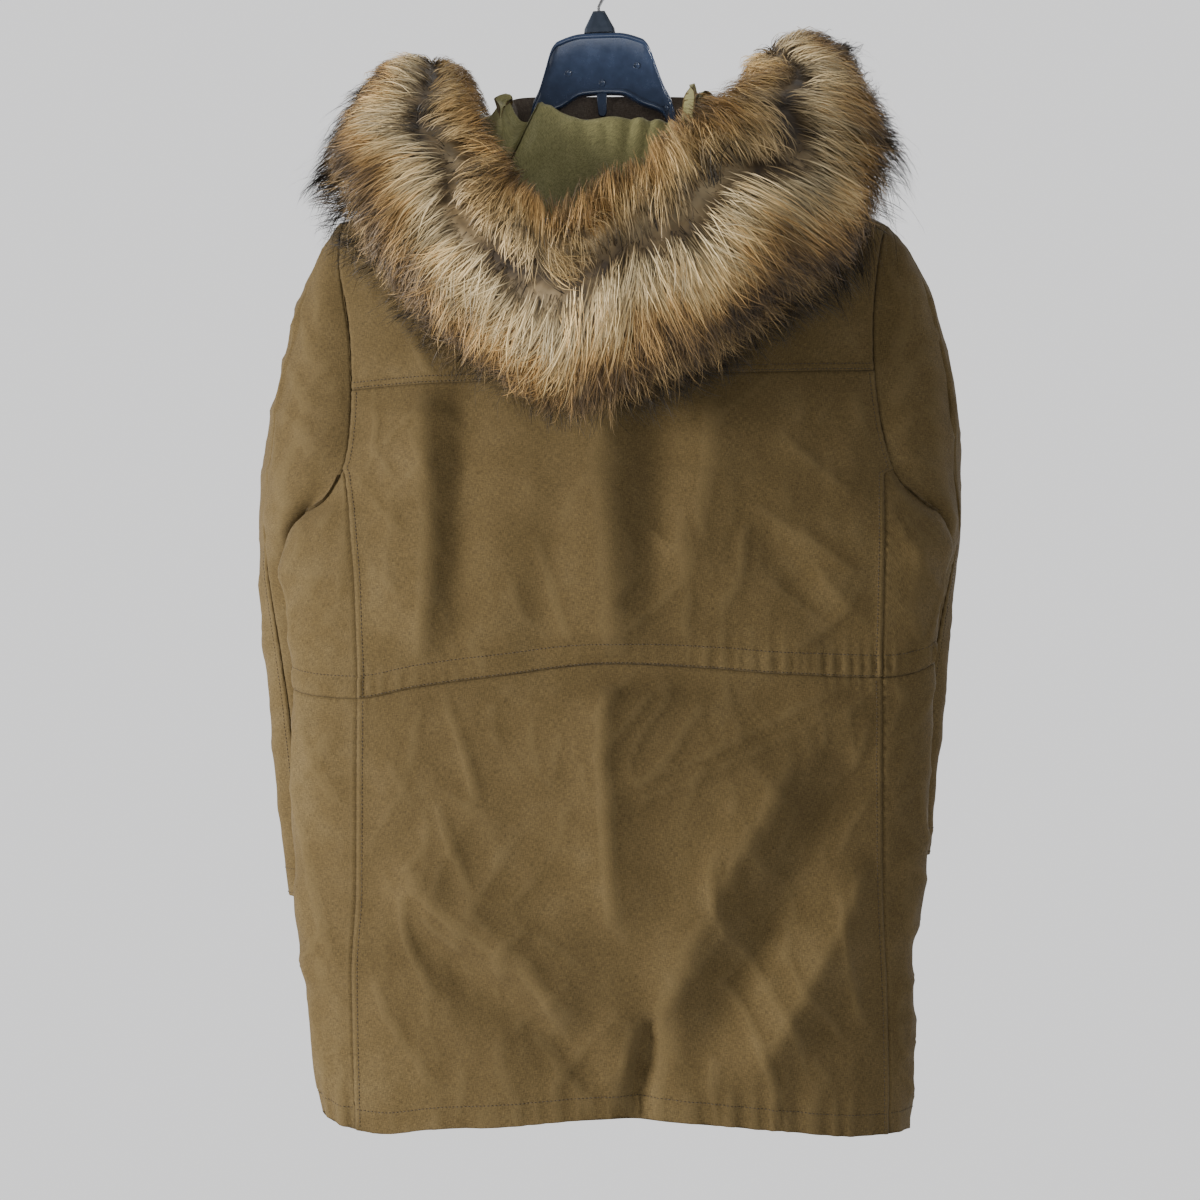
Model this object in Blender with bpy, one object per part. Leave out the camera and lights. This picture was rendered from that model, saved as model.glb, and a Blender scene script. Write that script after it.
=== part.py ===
"""Fur trimmed parka, hung flat on a moulded jacket hanger.

Frame: metres, +Z up, the parka's back faces -Y and its wearer's right side is at +X.
The origin is the inner top of the hanger's hook, where a rail would carry it.

The body is one closed ring at each height. A ring angle of 0 degrees is the middle of the back,
-90 the left side edge, +90 the right side edge and 180 the middle of the front. Every panel is a
trimmed piece of that one surface, so neighbours share their seam points and stay SEAM_GAP apart.
"""
import math

import bmesh
import bpy
import numpy as np

# ---------------------------------------------------------------- driving sizes
SEAM_GAP = 0.0003
WALL = 0.003
HEM_WALL = 0.0045
LINING_WALL = 0.001
HOOD_WALL = 0.0012

AXIS_X = 0.0146            # middle of the coat, beside the hook's axis
NECK_HALF = 0.100
NECK_Z = -0.195
NECK_DIP_BACK = 0.006      # rise of the neck seam at the middle of the back
NECK_DIP_FRONT = 0.030
SHOULDER_Z = -0.262
SHOULDER_SLOPE = 0.411
ARMPIT_Z = -0.535
JUNCTION_Z = -0.495        # where the side seams leave the armhole
ARMHOLE_SPREAD = 33.0      # degrees of ring between the side edge and the armhole seam
ARMHOLE_SQUARE = 0.6
SLEEVE_EASE = 0.0003       # the sleeve's seams stand off by this much, and its cap by a little more
CAP_EASE = 0.016
OPEN_Z = -0.430            # the sleeve's section starts to close on the inner side below this
SLEEVE_END = 0.3           # share of the way round over which the section meets the armhole
SEAM_ALIKE = 0.4           # how far the sleeve's wall must face as the body's to take its direction
HEM_CASING = 0.020

# ring sections of the body: height, half widths, y of the side edge, of the back and of the front,
# and how square the section is
SECTION = ("z", "left", "right", "edge", "back", "front", "square")
SECTIONS = (
    (-0.180, 0.100, 0.100, 0.000, -0.056, 0.046, 2.3),
    (-0.200, 0.113, 0.113, 0.000, -0.059, 0.047, 2.4),
    (-0.262, 0.263, 0.264, -0.002, -0.068, 0.051, 2.6),
    (-0.322, 0.290, 0.282, -0.002, -0.078, 0.055, 2.6),
    (-0.390, 0.289, 0.288, -0.002, -0.088, 0.058, 2.6),
    (-0.450, 0.284, 0.290, -0.006, -0.095, 0.060, 2.6),
    (-0.495, 0.279, 0.290, -0.018, -0.100, 0.060, 2.6),
    (-0.522, 0.280, 0.298, -0.028, -0.102, 0.060, 2.6),
    (-0.545, 0.295, 0.311, -0.036, -0.103, 0.060, 2.6),
    (-0.565, 0.306, 0.317, -0.040, -0.104, 0.060, 2.6),
    (-0.590, 0.311, 0.308, -0.042, -0.104, 0.060, 2.6),
    (-0.625, 0.304, 0.303, -0.041, -0.102, 0.059, 2.6),
    (-0.690, 0.298, 0.300, -0.038, -0.097, 0.056, 2.7),
    (-0.790, 0.297, 0.296, -0.036, -0.100, 0.058, 2.7),
    (-0.890, 0.297, 0.291, -0.034, -0.100, 0.058, 2.7),
    (-0.945, 0.292, 0.281, -0.031, -0.098, 0.057, 2.7),
    (-1.000, 0.284, 0.283, -0.028, -0.096, 0.056, 2.7),
    (-1.060, 0.280, 0.284, -0.025, -0.094, 0.054, 2.7),
    (-1.115, 0.268, 0.276, -0.022, -0.091, 0.052, 2.7),
)

# seam heights round the ring: angle, waist seam, hem edge
SEAM = ("angle", "waist", "hem")
SEAMS = (
    (-180, -0.690, -1.090),
    (-130, -0.690, -1.092),
    (-90, -0.698, -1.095),
    (-52, -0.706, -1.105),
    (-36, -0.695, -1.097),
    (-20, -0.685, -1.092),
    (0, -0.674, -1.086),
    (17, -0.678, -1.091),
    (30, -0.683, -1.097),
    (55, -0.687, -1.108),
    (90, -0.674, -1.112),
    (130, -0.688, -1.095),
    (180, -0.690, -1.090),
)
YOKE_LEFT_Z = -0.4223
YOKE_RIGHT_Z = -0.4037

# distance of the side seams from the coat's middle
SIDE_SEAM = ("z", "back_left", "back_right", "front")
SIDE_SEAMS = (
    (-0.495, 0.2475, 0.2500, 0.250),
    (-0.545, 0.2400, 0.2480, 0.238),
    (-0.610, 0.2345, 0.2470, 0.228),
    (-0.690, 0.2335, 0.2465, 0.221),
    (-0.880, 0.2340, 0.2470, 0.221),
    (-0.960, 0.2390, 0.2520, 0.222),
    (-1.115, 0.2370, 0.2570, 0.222),
)

# large folds: x and z of both ends, width, depth (a ridge is negative), and the side they are on
FOLD = ("x0", "z0", "x1", "z1", "width", "depth", "side")
FOLDS = (
    (-0.118, -0.430, -0.128, -0.640, 0.024, 0.0080, "back"),
    (0.058, -0.430, 0.045, -0.600, 0.030, 0.0080, "back"),
    (-0.030, -0.520, -0.050, -0.660, 0.022, 0.0040, "back"),
    (0.228, -0.770, 0.093, -1.030, 0.028, 0.0110, "back"),
    (0.250, -0.900, 0.150, -1.040, 0.024, -0.0070, "back"),
    (-0.141, -0.930, -0.006, -1.040, 0.024, 0.0090, "back"),
    (-0.190, -0.890, -0.110, -0.975, 0.022, 0.0050, "back"),
    (0.054, -0.990, 0.034, -1.090, 0.020, 0.0100, "back"),
    (0.160, -0.560, 0.220, -0.660, 0.022, 0.0050, "back"),
    (-0.150, -0.400, -0.110, -0.620, 0.024, 0.0070, "front"),
    (0.150, -0.420, 0.120, -0.640, 0.026, 0.0070, "front"),
    (-0.160, -0.780, -0.080, -1.040, 0.026, 0.0090, "front"),
    (0.180, -0.800, 0.090, -1.050, 0.024, 0.0080, "front"),
)
WAIST_CINCH = 0.006        # how far the drawcord draws the waist in, and over what height
WAIST_CINCH_HALF = 0.028
WAIST_Z = -0.680
SEAM_LOOKUP = {"back": 53, "front": 130}   # ring angles that set the row heights at the side seams

# sleeve sections by height: half distances from the coat's middle to the outermost and innermost
# points, their depths front to back, and the section's own half depth
SLEEVE = ("z", "outer_left", "outer_right", "outer_y", "inner_left", "inner_right", "inner_y", "depth")
SLEEVES = (
    (-0.262, 0.264, 0.266, -0.002, 0.262, 0.264, -0.002, 0.045),
    (-0.309, 0.287, 0.296, 0.000, 0.256, 0.250, -0.011, 0.045),
    (-0.365, 0.305, 0.317, 0.006, 0.250, 0.244, -0.011, 0.045),
    (-0.425, 0.323, 0.330, 0.014, 0.242, 0.243, -0.012, 0.045),
    (-0.485, 0.335, 0.335, 0.026, 0.250, 0.254, -0.010, 0.044),
    (-0.535, 0.341, 0.338, 0.036, 0.294, 0.310, -0.014, 0.041),
    (-0.548, 0.342, 0.338, 0.042, 0.298, 0.312, 0.002, 0.039),
    (-0.560, 0.343, 0.338, 0.047, 0.297, 0.309, 0.017, 0.038),
    (-0.600, 0.345, 0.336, 0.056, 0.277, 0.285, 0.042, 0.037),
    (-0.640, 0.345, 0.335, 0.063, 0.252, 0.256, 0.057, 0.035),
    (-0.680, 0.342, 0.333, 0.066, 0.232, 0.235, 0.065, 0.033),
    (-0.720, 0.339, 0.329, 0.068, 0.220, 0.221, 0.072, 0.032),
    (-0.770, 0.334, 0.325, 0.068, 0.213, 0.213, 0.077, 0.030),
    (-0.820, 0.328, 0.320, 0.067, 0.211, 0.211, 0.076, 0.029),
    (-0.868, 0.3245, 0.317, 0.066, 0.213, 0.213, 0.073, 0.028),
    (-0.907, 0.3205, 0.312, 0.065, 0.217, 0.217, 0.071, 0.027),
)
RIGHT_SLEEVE_RISE = 0.040  # the right sleeve is pushed up by this much at its cuff

# fur ruff sections along the hood's edge, from the left front end round the back to the right one
RUFF = ("inner_x", "inner_z", "outer_x", "outer_z", "y", "half", "neck_angle", "crest_up", "hang")
RUFFS = (
    (-0.050, -0.240, -0.108, -0.232, 0.104, 0.024, -158, 0.006, 0.0),
    (-0.072, -0.200, -0.150, -0.190, 0.098, 0.028, -144, 0.018, 0.0),
    (-0.100, -0.155, -0.185, -0.140, 0.066, 0.032, -124, 0.046, 0.0),
    (-0.114, -0.134, -0.200, -0.112, 0.014, 0.036, -104, 0.070, 0.0),
    (-0.110, -0.152, -0.214, -0.140, -0.040, 0.038, -86, 0.078, 0.0),
    (-0.096, -0.190, -0.240, -0.213, -0.086, 0.038, -70, 0.060, 0.0),
    (-0.078, -0.228, -0.228, -0.280, -0.119, 0.038, -55, 0.038, 0.40),
    (-0.064, -0.253, -0.175, -0.345, -0.144, 0.038, -41, 0.021, 0.85),
    (-0.052, -0.262, -0.118, -0.402, -0.159, 0.037, -27, 0.015, 1.0),
    (-0.026, -0.264, -0.044, -0.446, -0.168, 0.037, -13, 0.015, 1.0),
    (0.002, -0.253, 0.010, -0.451, -0.172, 0.037, 0, 0.016, 1.0),
    (0.028, -0.248, 0.076, -0.431, -0.168, 0.037, 13, 0.016, 1.0),
    (0.048, -0.230, 0.145, -0.382, -0.160, 0.038, 27, 0.017, 0.85),
    (0.060, -0.210, 0.190, -0.348, -0.149, 0.038, 40, 0.022, 0.60),
    (0.073, -0.192, 0.224, -0.312, -0.132, 0.038, 52, 0.034, 0.30),
    (0.086, -0.180, 0.254, -0.255, -0.107, 0.039, 63, 0.058, 0.0),
    (0.100, -0.165, 0.262, -0.205, -0.082, 0.040, 74, 0.080, 0.0),
    (0.136, -0.146, 0.252, -0.150, -0.044, 0.038, 88, 0.078, 0.0),
    (0.142, -0.118, 0.234, -0.098, 0.010, 0.036, 104, 0.074, 0.0),
    (0.128, -0.146, 0.212, -0.134, 0.066, 0.032, 124, 0.046, 0.0),
    (0.102, -0.196, 0.172, -0.188, 0.098, 0.028, 144, 0.018, 0.0),
    (0.076, -0.238, 0.128, -0.232, 0.104, 0.024, 158, 0.006, 0.0),
)
POUCH_DROP = 0.022         # hanging hood below the fur's base
POUCH_DEPTH = 0.014        # and between its two walls
RUFF_LEAN = 0.012          # the outer edge lies nearer the coat than the inner edge
RUFF_REST = 0.0008         # fur base to hood shell where the hood hangs
SIDE_REST = 0.0022         # and beside the neck
HOOD_CUT_LEFT = 7          # the hood's two seams, by place along the ruff
HOOD_CUT_RIGHT = 15
HOOD_EASE = 0.0003
HUNG_TURN = 74.0           # where the shell's edge meets the fur, around the fur's section
SIDE_TURN = 20.0
FOLD_FROM = 0.2           # share of hanging at which the shell starts to fold over itself
SIDE_ARCH = 0.012          # rise of the shell between neck seam and fur beside the neck
CREST_OUT = 0.003          # roll of the shell over the neck seam
ROLL_OUT = 0.012
HOOD_FOOT_UP = 0.0006
HOOD_FOOT_OUT = 0.0039
HOOD_STEPS = (0.0, 0.9, 1.6, 2.2, 2.8, 3.5, 4.4, 5.1, 5.6, 6.1, 6.8, 8.0)  # along its controls

COLLAR_BACK = 0.012
COLLAR_FRONT = 0.098
COLLAR_LEAN = 0.14
NECK_CLEAR = 0.0004

FLAP_HALF = 0.030          # storm flap
FLAP_WALL = 0.0025
FLAP_RISE = 0.0006

HANGER_TILT = math.radians(2.0)
HANGER_HALF = 0.196
HANGER_THICK = 0.0060
HANGER_WEB = 0.0032
HANGER_RIM = 0.0045
HANGER_END = 0.186         # the arms' tips round off from here, over TIP_LENGTH
TIP_LENGTH = 0.012
ARM_FROM = 0.090           # the top edge follows the coat's shoulder from here
ARM_UNDER = 0.112          # and the bottom edge from here
ARM_DROP = 0.0088          # arm's top below the line of the coat's shoulder seam
ARM_HEIGHT = 0.028
HANGER_TOP = ((0.0, -0.076), (0.016, -0.0762), (0.040, -0.0825), (0.0455, -0.088), (0.054, -0.112),
              (0.0595, -0.128), (0.066, -0.142), (0.073, -0.177), (0.079, -0.2065), (0.098, -0.2085))
HANGER_BOTTOM = ((0.0, -0.1335), (0.018, -0.1345), (0.038, -0.145), (0.058, -0.1545),
                 (0.065, -0.185), (0.072, -0.224), (0.090, -0.238), (0.112, -0.240))
HOOK_RADIUS = 0.0205
WIRE_RADIUS = 0.0017
WIRE_SIDES = 10
HOOK_STEPS = 18
HOOK_START = -52.0         # degrees round the hook's middle, stem end and open end
HOOK_END = 195.0
MARKER_TOP_Z = -0.055
MARKER_BASE_Z = -0.0757

# how finely the surfaces are divided
BACK_COLUMNS = 16
FRONT_COLUMNS = 7
SIDE_COLUMNS = 6
SHOULDER_ROWS = 5
YOKE_ROWS = 5
CHEST_ROWS = 3
WAIST_ROWS = 7
SKIRT_ROWS = 11
SLEEVE_COLUMNS = 14        # round a sleeve; its back seam is at SLEEVE_CUT
SLEEVE_CUT = 5
SLEEVE_ROWS = (0.010, 0.026, 0.050, 0.085, 0.130, 0.180, 0.235, 0.295, 0.338, 0.372)
RUFF_SIDES = 14

LEFT = -1
RIGHT = 1


# ---------------------------------------------------------------- helpers
def column(names, rows, name):
    """One named column of a table."""
    return np.array([row[names.index(name)] for row in rows], dtype=float)


def smooth(xs, ys, at):
    """Monotone cubic through the points; xs may rise or fall."""
    if xs[0] > xs[-1]:
        xs, ys = xs[::-1], ys[::-1]
    at = min(max(at, xs[0]), xs[-1])
    i = int(min(max(np.searchsorted(xs, at) - 1, 0), len(xs) - 2))
    step = np.diff(xs)
    slope = np.diff(ys) / step

    def tangent(k):
        if k == 0:
            return slope[0]
        if k == len(xs) - 1:
            return slope[-1]
        if slope[k - 1] * slope[k] <= 0:
            return 0.0
        return 2.0 * slope[k - 1] * slope[k] / (slope[k - 1] + slope[k])

    t = (at - xs[i]) / step[i]
    ease = t * t * (3 - 2 * t)
    bend_in = t * (1 - t) ** 2 * tangent(i) * step[i]
    bend_out = -t * t * (1 - t) * tangent(i + 1) * step[i]
    return ys[i] * (1 - ease) + ys[i + 1] * ease + bend_in + bend_out


def spline(points, at):
    """Catmull-Rom curve through a list of points, at a fractional index."""
    last = len(points) - 1
    at = min(max(at, 0.0), float(last))
    i = int(min(math.floor(at), last - 1))
    t = at - i
    p1, p2 = points[i], points[i + 1]
    p0 = points[i - 1] if i > 0 else 2 * p1 - p2
    p3 = points[i + 2] if i + 2 <= last else 2 * p2 - p1
    return 0.5 * (2 * p1 + (p2 - p0) * t + (2 * p0 - 5 * p1 + 4 * p2 - p3) * t * t
                  + (3 * p1 - p0 - 3 * p2 + p3) * t ** 3)


def rounded(points, at):
    """Cubic B-spline led by the points; it starts and ends on the first and last one."""
    led = [2 * points[0] - points[1]] + list(points) + [2 * points[-1] - points[-2]]
    at = min(max(at, 0.0), len(points) - 1.0)
    i = int(min(math.floor(at), len(points) - 2))
    t = at - i
    a, b, c, d = led[i:i + 4]
    return (a * (1 - t) ** 3 + b * (3 * t ** 3 - 6 * t ** 2 + 4)
            + c * (-3 * t ** 3 + 3 * t ** 2 + 3 * t + 1) + d * t ** 3) / 6


def mix(a, b, t):
    return a + (b - a) * t


def unit(vector):
    length = np.linalg.norm(vector)
    return vector / length if length > 1e-12 else vector


SECTION_Z = column(SECTION, SECTIONS, "z")
SECTION_OF = {name: column(SECTION, SECTIONS, name) for name in SECTION[1:]}
SEAM_ANGLE = column(SEAM, SEAMS, "angle")
SEAM_OF = {name: column(SEAM, SEAMS, name) for name in SEAM[1:]}
SIDE_Z = column(SIDE_SEAM, SIDE_SEAMS, "z")
SIDE_OF = {name: column(SIDE_SEAM, SIDE_SEAMS, name) for name in SIDE_SEAM[1:]}


def section(name, z):
    """A size of the body's ring; over the shoulder its half width follows the shoulder's slope."""
    if name in ("left", "right") and z > SHOULDER_Z:
        edge = SECTION_OF[name][2]
        return edge - (z - SHOULDER_Z) * (edge - NECK_HALF) / (NECK_Z - SHOULDER_Z)
    return smooth(SECTION_Z, SECTION_OF[name], z)


def fold_depth(x, z, side):
    """How far the cloth is pushed in by the large folds and the drawn waist."""
    depth = WAIST_CINCH * math.exp(-((z - WAIST_Z) / WAIST_CINCH_HALF) ** 2)
    for x0, z0, x1, z1, width, deep, where in FOLDS:
        if where != side:
            continue
        run = (x1 - x0, z1 - z0)
        length = run[0] ** 2 + run[1] ** 2
        along = ((x - x0) * run[0] + (z - z0) * run[1]) / length
        near = min(max(along, 0.0), 1.0)
        off = math.hypot(x - x0 - near * run[0], z - z0 - near * run[1])
        taper = math.sin(math.pi * min(max(0.12 + 0.76 * near, 0.0), 1.0)) ** 0.5
        depth += deep * taper * math.exp(-(off / width) ** 2)
    return depth


def body(angle, z):
    """Point of the body's outer face at a ring angle in degrees and a height."""
    turn = math.radians(angle)
    across = math.sin(turn)
    half = section("left" if across < 0 else "right", z)
    edge = section("edge", z)
    fullness = math.sqrt(max(1.0 - abs(across) ** section("square", z), 0.0))
    x = AXIS_X + half * across
    side = "back" if math.cos(turn) >= 0 else "front"
    reach = section(side, z) - edge
    y = edge + reach * fullness
    inward = 1.0 if side == "back" else -1.0
    y += inward * fold_depth(x, z, side) * fullness
    return np.array((x, y, z))


def body_normal(angle, z):
    """Outward normal of the body's outer face."""
    turn, rise = 2.0, 0.004
    along = body(angle + turn, z) - body(angle - turn, z)
    up = body(angle, z + rise) - body(angle, z - rise)
    return unit(np.cross(along, up))


def neck_z(angle):
    """Height of the neck seam."""
    middle = math.cos(math.radians(angle))
    if middle >= 0:
        return NECK_Z + NECK_DIP_BACK * middle ** 2
    return NECK_Z - NECK_DIP_FRONT * middle ** 2


def armhole(side, turn):
    """Ring angle and height on an armhole seam; turn 0 is the shoulder and 180 the armpit."""
    middle = (SHOULDER_Z + ARMPIT_Z) / 2
    z = middle + (SHOULDER_Z - middle) * math.cos(math.radians(turn))
    sway = math.sin(math.radians(turn))
    spread = ARMHOLE_SPREAD * math.copysign(abs(sway) ** ARMHOLE_SQUARE, sway)
    return side * (90.0 - spread), z


def armhole_turn(z):
    """The turn at which the armhole's back half passes a height."""
    middle = (SHOULDER_Z + ARMPIT_Z) / 2
    return math.degrees(math.acos((z - middle) / (SHOULDER_Z - middle)))


def armhole_turns(side):
    """Turns of the shared seam points on the armhole's back half, shoulder to junction."""
    at_yoke = armhole_turn(YOKE_LEFT_Z if side == LEFT else YOKE_RIGHT_Z)
    at_junction = armhole_turn(JUNCTION_Z)
    yoke = [at_yoke * k / YOKE_ROWS for k in range(YOKE_ROWS + 1)]
    chest = [mix(at_yoke, at_junction, k / CHEST_ROWS) for k in range(1, CHEST_ROWS + 1)]
    return yoke + chest


def armhole_loop(side):
    """All shared seam points of an armhole: down the back, under the arm and up the front."""
    back = armhole_turns(side)
    under = [mix(back[-1], 360 - back[-1], k / SIDE_COLUMNS) for k in range(1, SIDE_COLUMNS)]
    front = [360 - turn for turn in reversed(back)]
    return back + under + front


def waist_z(angle):
    return smooth(SEAM_ANGLE, SEAM_OF["waist"], wrap(angle))


def hem_z(angle):
    return smooth(SEAM_ANGLE, SEAM_OF["hem"], wrap(angle))


def wrap(angle):
    """The same ring angle, between -180 and 180."""
    return (angle + 180.0) % 360.0 - 180.0


def side_seam(side, face, height):
    """Ring angle of a side seam at a height."""
    if face == "front":
        offset = smooth(SIDE_Z, SIDE_OF["front"], height)
    else:
        offset = smooth(SIDE_Z, SIDE_OF["back_left" if side == LEFT else "back_right"], height)
    lean = math.degrees(math.asin(offset / section("left" if side == LEFT else "right", height)))
    return side * (lean if face == "back" else 180.0 - lean)


def row_height(angle, row, top):
    """Height of a row below the armholes; row 0 is the top and the last one the hem."""
    waist = waist_z(angle)
    if row <= WAIST_ROWS:
        return mix(top, waist, row / WAIST_ROWS)
    hem = hem_z(angle)
    stitch = hem + HEM_CASING
    if row <= WAIST_ROWS + SKIRT_ROWS:
        return mix(waist, stitch, (row - WAIST_ROWS) / SKIRT_ROWS)
    return hem


LOWER_ROWS = WAIST_ROWS + SKIRT_ROWS + 1


def seam_angle(side, face, row):
    """Ring angle where a row meets a side seam, the same for both neighbours."""
    return side_seam(side, face, row_height(side * SEAM_LOOKUP[face], row, JUNCTION_Z))


# ---------------------------------------------------------------- mesh making
def make_object(name, vertices, faces, material, flat_over=50.0):
    mesh = bpy.data.meshes.new(name)
    mesh.from_pydata([tuple(v) for v in vertices], [], faces)
    shape = bmesh.new()
    shape.from_mesh(mesh)
    bmesh.ops.recalc_face_normals(shape, faces=shape.faces)
    if shape.calc_volume(signed=True) < 0:
        bmesh.ops.reverse_faces(shape, faces=shape.faces)
    shape.to_mesh(mesh)
    shape.free()
    mesh.shade_smooth()
    mesh.set_sharp_from_angle(angle=math.radians(flat_over))
    mesh.materials.append(material)
    thing = bpy.data.objects.new(name, mesh)
    bpy.context.scene.collection.objects.link(thing)
    return thing


def tighten(grid, open_rows, open_columns, half=SEAM_GAP / 2):
    """Draw each seamed border in by half a seam gap; open_ pairs say which borders stay."""
    result = grid.copy()
    for at_end, keep in zip((0, -1), open_rows):
        if not keep:
            inner = grid[1 if at_end == 0 else -2]
            for j in range(grid.shape[1]):
                result[at_end, j] += unit(inner[j] - grid[at_end, j]) * half
    for at_end, keep in zip((0, -1), open_columns):
        if not keep:
            inner = grid[:, 1 if at_end == 0 else -2]
            for i in range(grid.shape[0]):
                result[i, at_end] += unit(inner[i] - grid[i, at_end]) * half
    return result


def walled(name, outer, inner, material):
    """A closed wall between two grids of points."""
    rows, columns = outer.shape[:2]
    vertices = list(outer.reshape(-1, 3)) + list(inner.reshape(-1, 3))
    shift = rows * columns

    def index(i, j):
        return i * columns + j

    faces = []
    for i in range(rows - 1):
        for j in range(columns - 1):
            a, b, c, d = index(i, j), index(i + 1, j), index(i + 1, j + 1), index(i, j + 1)
            straight = np.linalg.norm(outer[i, j] - outer[i + 1, j + 1])
            crossed = np.linalg.norm(outer[i + 1, j] - outer[i, j + 1])
            halves = ((a, b, c), (a, c, d)) if straight <= crossed else ((a, b, d), (b, c, d))
            for corner in halves:
                faces.append(corner)
                faces.append(tuple(shift + k for k in reversed(corner)))
    border = [(i, 0) for i in range(rows)] + [(rows - 1, j) for j in range(1, columns)]
    border += [(i, columns - 1) for i in range(rows - 2, -1, -1)]
    border += [(0, j) for j in range(columns - 2, 0, -1)]
    loop = [index(i, j) for i, j in border]
    for a, b in zip(loop, loop[1:] + loop[:1]):
        faces.append((a, shift + a, shift + b, b))
    return make_object(name, vertices, faces, material)


def panel(name, spots, material, open_rows=(False, False), open_columns=(False, False),
          walls=None, out=0.0):
    """A body panel from rows of (angle, height) spots; walls gives each row's thickness."""
    outer = np.array([[body(a, z) for a, z in row] for row in spots])
    normal = np.array([[body_normal(a, z) for a, z in row] for row in spots])
    outer = tighten(outer, open_rows, open_columns) + normal * out
    thick = np.array(walls if walls else [WALL] * len(spots)).reshape(-1, 1, 1)
    return walled(name, outer, outer - normal * thick, material)


def fabric(name, colour, roughness, metallic=0.0):
    material = bpy.data.materials.new(name)
    material.use_nodes = True
    shader = material.node_tree.nodes["Principled BSDF"]
    shader.inputs["Base Color"].default_value = (*colour, 1.0)
    shader.inputs["Roughness"].default_value = roughness
    shader.inputs["Metallic"].default_value = metallic
    return material


# ---------------------------------------------------------------- body panels
def upper_rows(first, last, inner_angles, outer_turn):
    """Rows between an armhole seam on each side; inner_angles maps the two ends to columns."""
    rows = []
    for k in range(first, last + 1):
        left_angle, left_z = outer_turn(LEFT, k)
        right_angle, right_z = outer_turn(RIGHT, k)
        rows.append([(mix(left_angle, right_angle, u), mix(left_z, right_z, u))
                     for u in inner_angles])
    return rows


def shoulder_rows(angles, floor_z):
    """Rows from the neck seam down to the shoulder's end."""
    rows = []
    for k in range(SHOULDER_ROWS + 1):
        share = k / SHOULDER_ROWS
        rows.append([(a, mix(neck_z(a), floor_z, share)) for a in angles])
    return rows


def back_turn(side, k):
    return armhole(side, armhole_turns(side)[k])


def make_back_yoke(shell):
    spread = np.linspace(0.0, 1.0, BACK_COLUMNS + 1)
    rows = shoulder_rows([mix(-90, 90, u) for u in spread], SHOULDER_Z)
    rows += upper_rows(1, YOKE_ROWS, spread, back_turn)
    panel("back_yoke", rows, shell, open_rows=(True, False))


def make_back_upper(shell):
    spread = np.linspace(0.0, 1.0, BACK_COLUMNS + 1)
    rows = upper_rows(YOKE_ROWS, YOKE_ROWS + CHEST_ROWS, spread, back_turn)
    rows += back_lower_rows(1, WAIST_ROWS, spread)
    panel("back_upper", rows, shell)


def back_lower_rows(first, last, spread):
    rows = []
    for k in range(first, last + 1):
        left = seam_angle(LEFT, "back", k)
        right = seam_angle(RIGHT, "back", k)
        angles = [mix(left, right, u) for u in spread]
        rows.append([(a, row_height(a, k, JUNCTION_Z)) for a in angles])
    return rows


def hem_walls(rows):
    """Row thicknesses with the turned hem casing at the foot."""
    return [WALL] * (rows - 2) + [WALL + SEAM_GAP, HEM_WALL]


def make_back_lower(shell):
    spread = np.linspace(0.0, 1.0, BACK_COLUMNS + 1)
    rows = back_lower_rows(WAIST_ROWS, LOWER_ROWS, spread)
    panel("back_lower", rows, shell, open_rows=(False, True), walls=hem_walls(len(rows)))


def side_rows(side, first, last):
    """Rows of a side panel, from its back seam round the side edge to its front seam."""
    turn = armhole_turns(side)[-1]
    rows = []
    for k in range(first, last + 1):
        row = []
        for j in range(SIDE_COLUMNS + 1):
            share = j / SIDE_COLUMNS
            top_angle, top_z = armhole(side, mix(turn, 360 - turn, share))
            if k == 0:
                row.append((top_angle, top_z))
                continue
            angle = mix(seam_angle(side, "back", k), seam_angle(side, "front", k), share)
            row.append((angle, row_height(angle, k, top_z)))
        rows.append(row)
    return rows


def make_side(side, word, shell):
    upper = side_rows(side, 0, WAIST_ROWS)
    panel(f"side_{word}_upper", upper, shell)
    lower = side_rows(side, WAIST_ROWS, LOWER_ROWS)
    panel(f"side_{word}_lower", lower, shell, open_rows=(False, True), walls=hem_walls(len(lower)))


def front_rows(side, outer_share):
    """Rows of a front, from the armhole or side seam to the closed front edge."""
    rows = shoulder_rows([side * mix(90, 180, u) for u in outer_share], SHOULDER_Z)
    turns = armhole_turns(side)
    for turn in turns[1:]:
        angle, z = armhole(side, 360 - turn)
        rows.append([(mix(angle, side * 180, u), z) for u in outer_share])
    for k in range(1, LOWER_ROWS + 1):
        seam = seam_angle(side, "front", k)
        angles = [mix(seam, side * 180, u) for u in outer_share]
        rows.append([(a, row_height(a, k, JUNCTION_Z)) for a in angles])
    return rows


def make_front(side, word, shell):
    share = [k / FRONT_COLUMNS for k in range(FRONT_COLUMNS + 1)]
    rows = front_rows(side, share)
    panel(f"front_{word}", rows, shell, open_rows=(True, True), walls=hem_walls(len(rows)))


def make_storm_flap(shell):
    """Flap over the zip; it lies on the two fronts."""
    left = front_rows(LEFT, (0.0, 1.0))
    rows = []
    for k in range(1, len(left) - 1):
        z = left[k][1][1]
        lean = math.degrees(math.asin(FLAP_HALF / section("right", z)))
        rows.append([(180 + lean * share, z) for share in (-1.0, -0.5, 0.0, 0.5, 1.0)])
    panel("storm_flap", rows, shell, (True, True), (True, True),
          walls=[FLAP_WALL] * len(rows), out=FLAP_WALL + FLAP_RISE)


def neck_frame(angle):
    """Neck seam point and the level direction away from the neck."""
    out = body_normal(angle, neck_z(angle))
    return body(angle, neck_z(angle)), unit(np.array((out[0], out[1], 0.0)))


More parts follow.
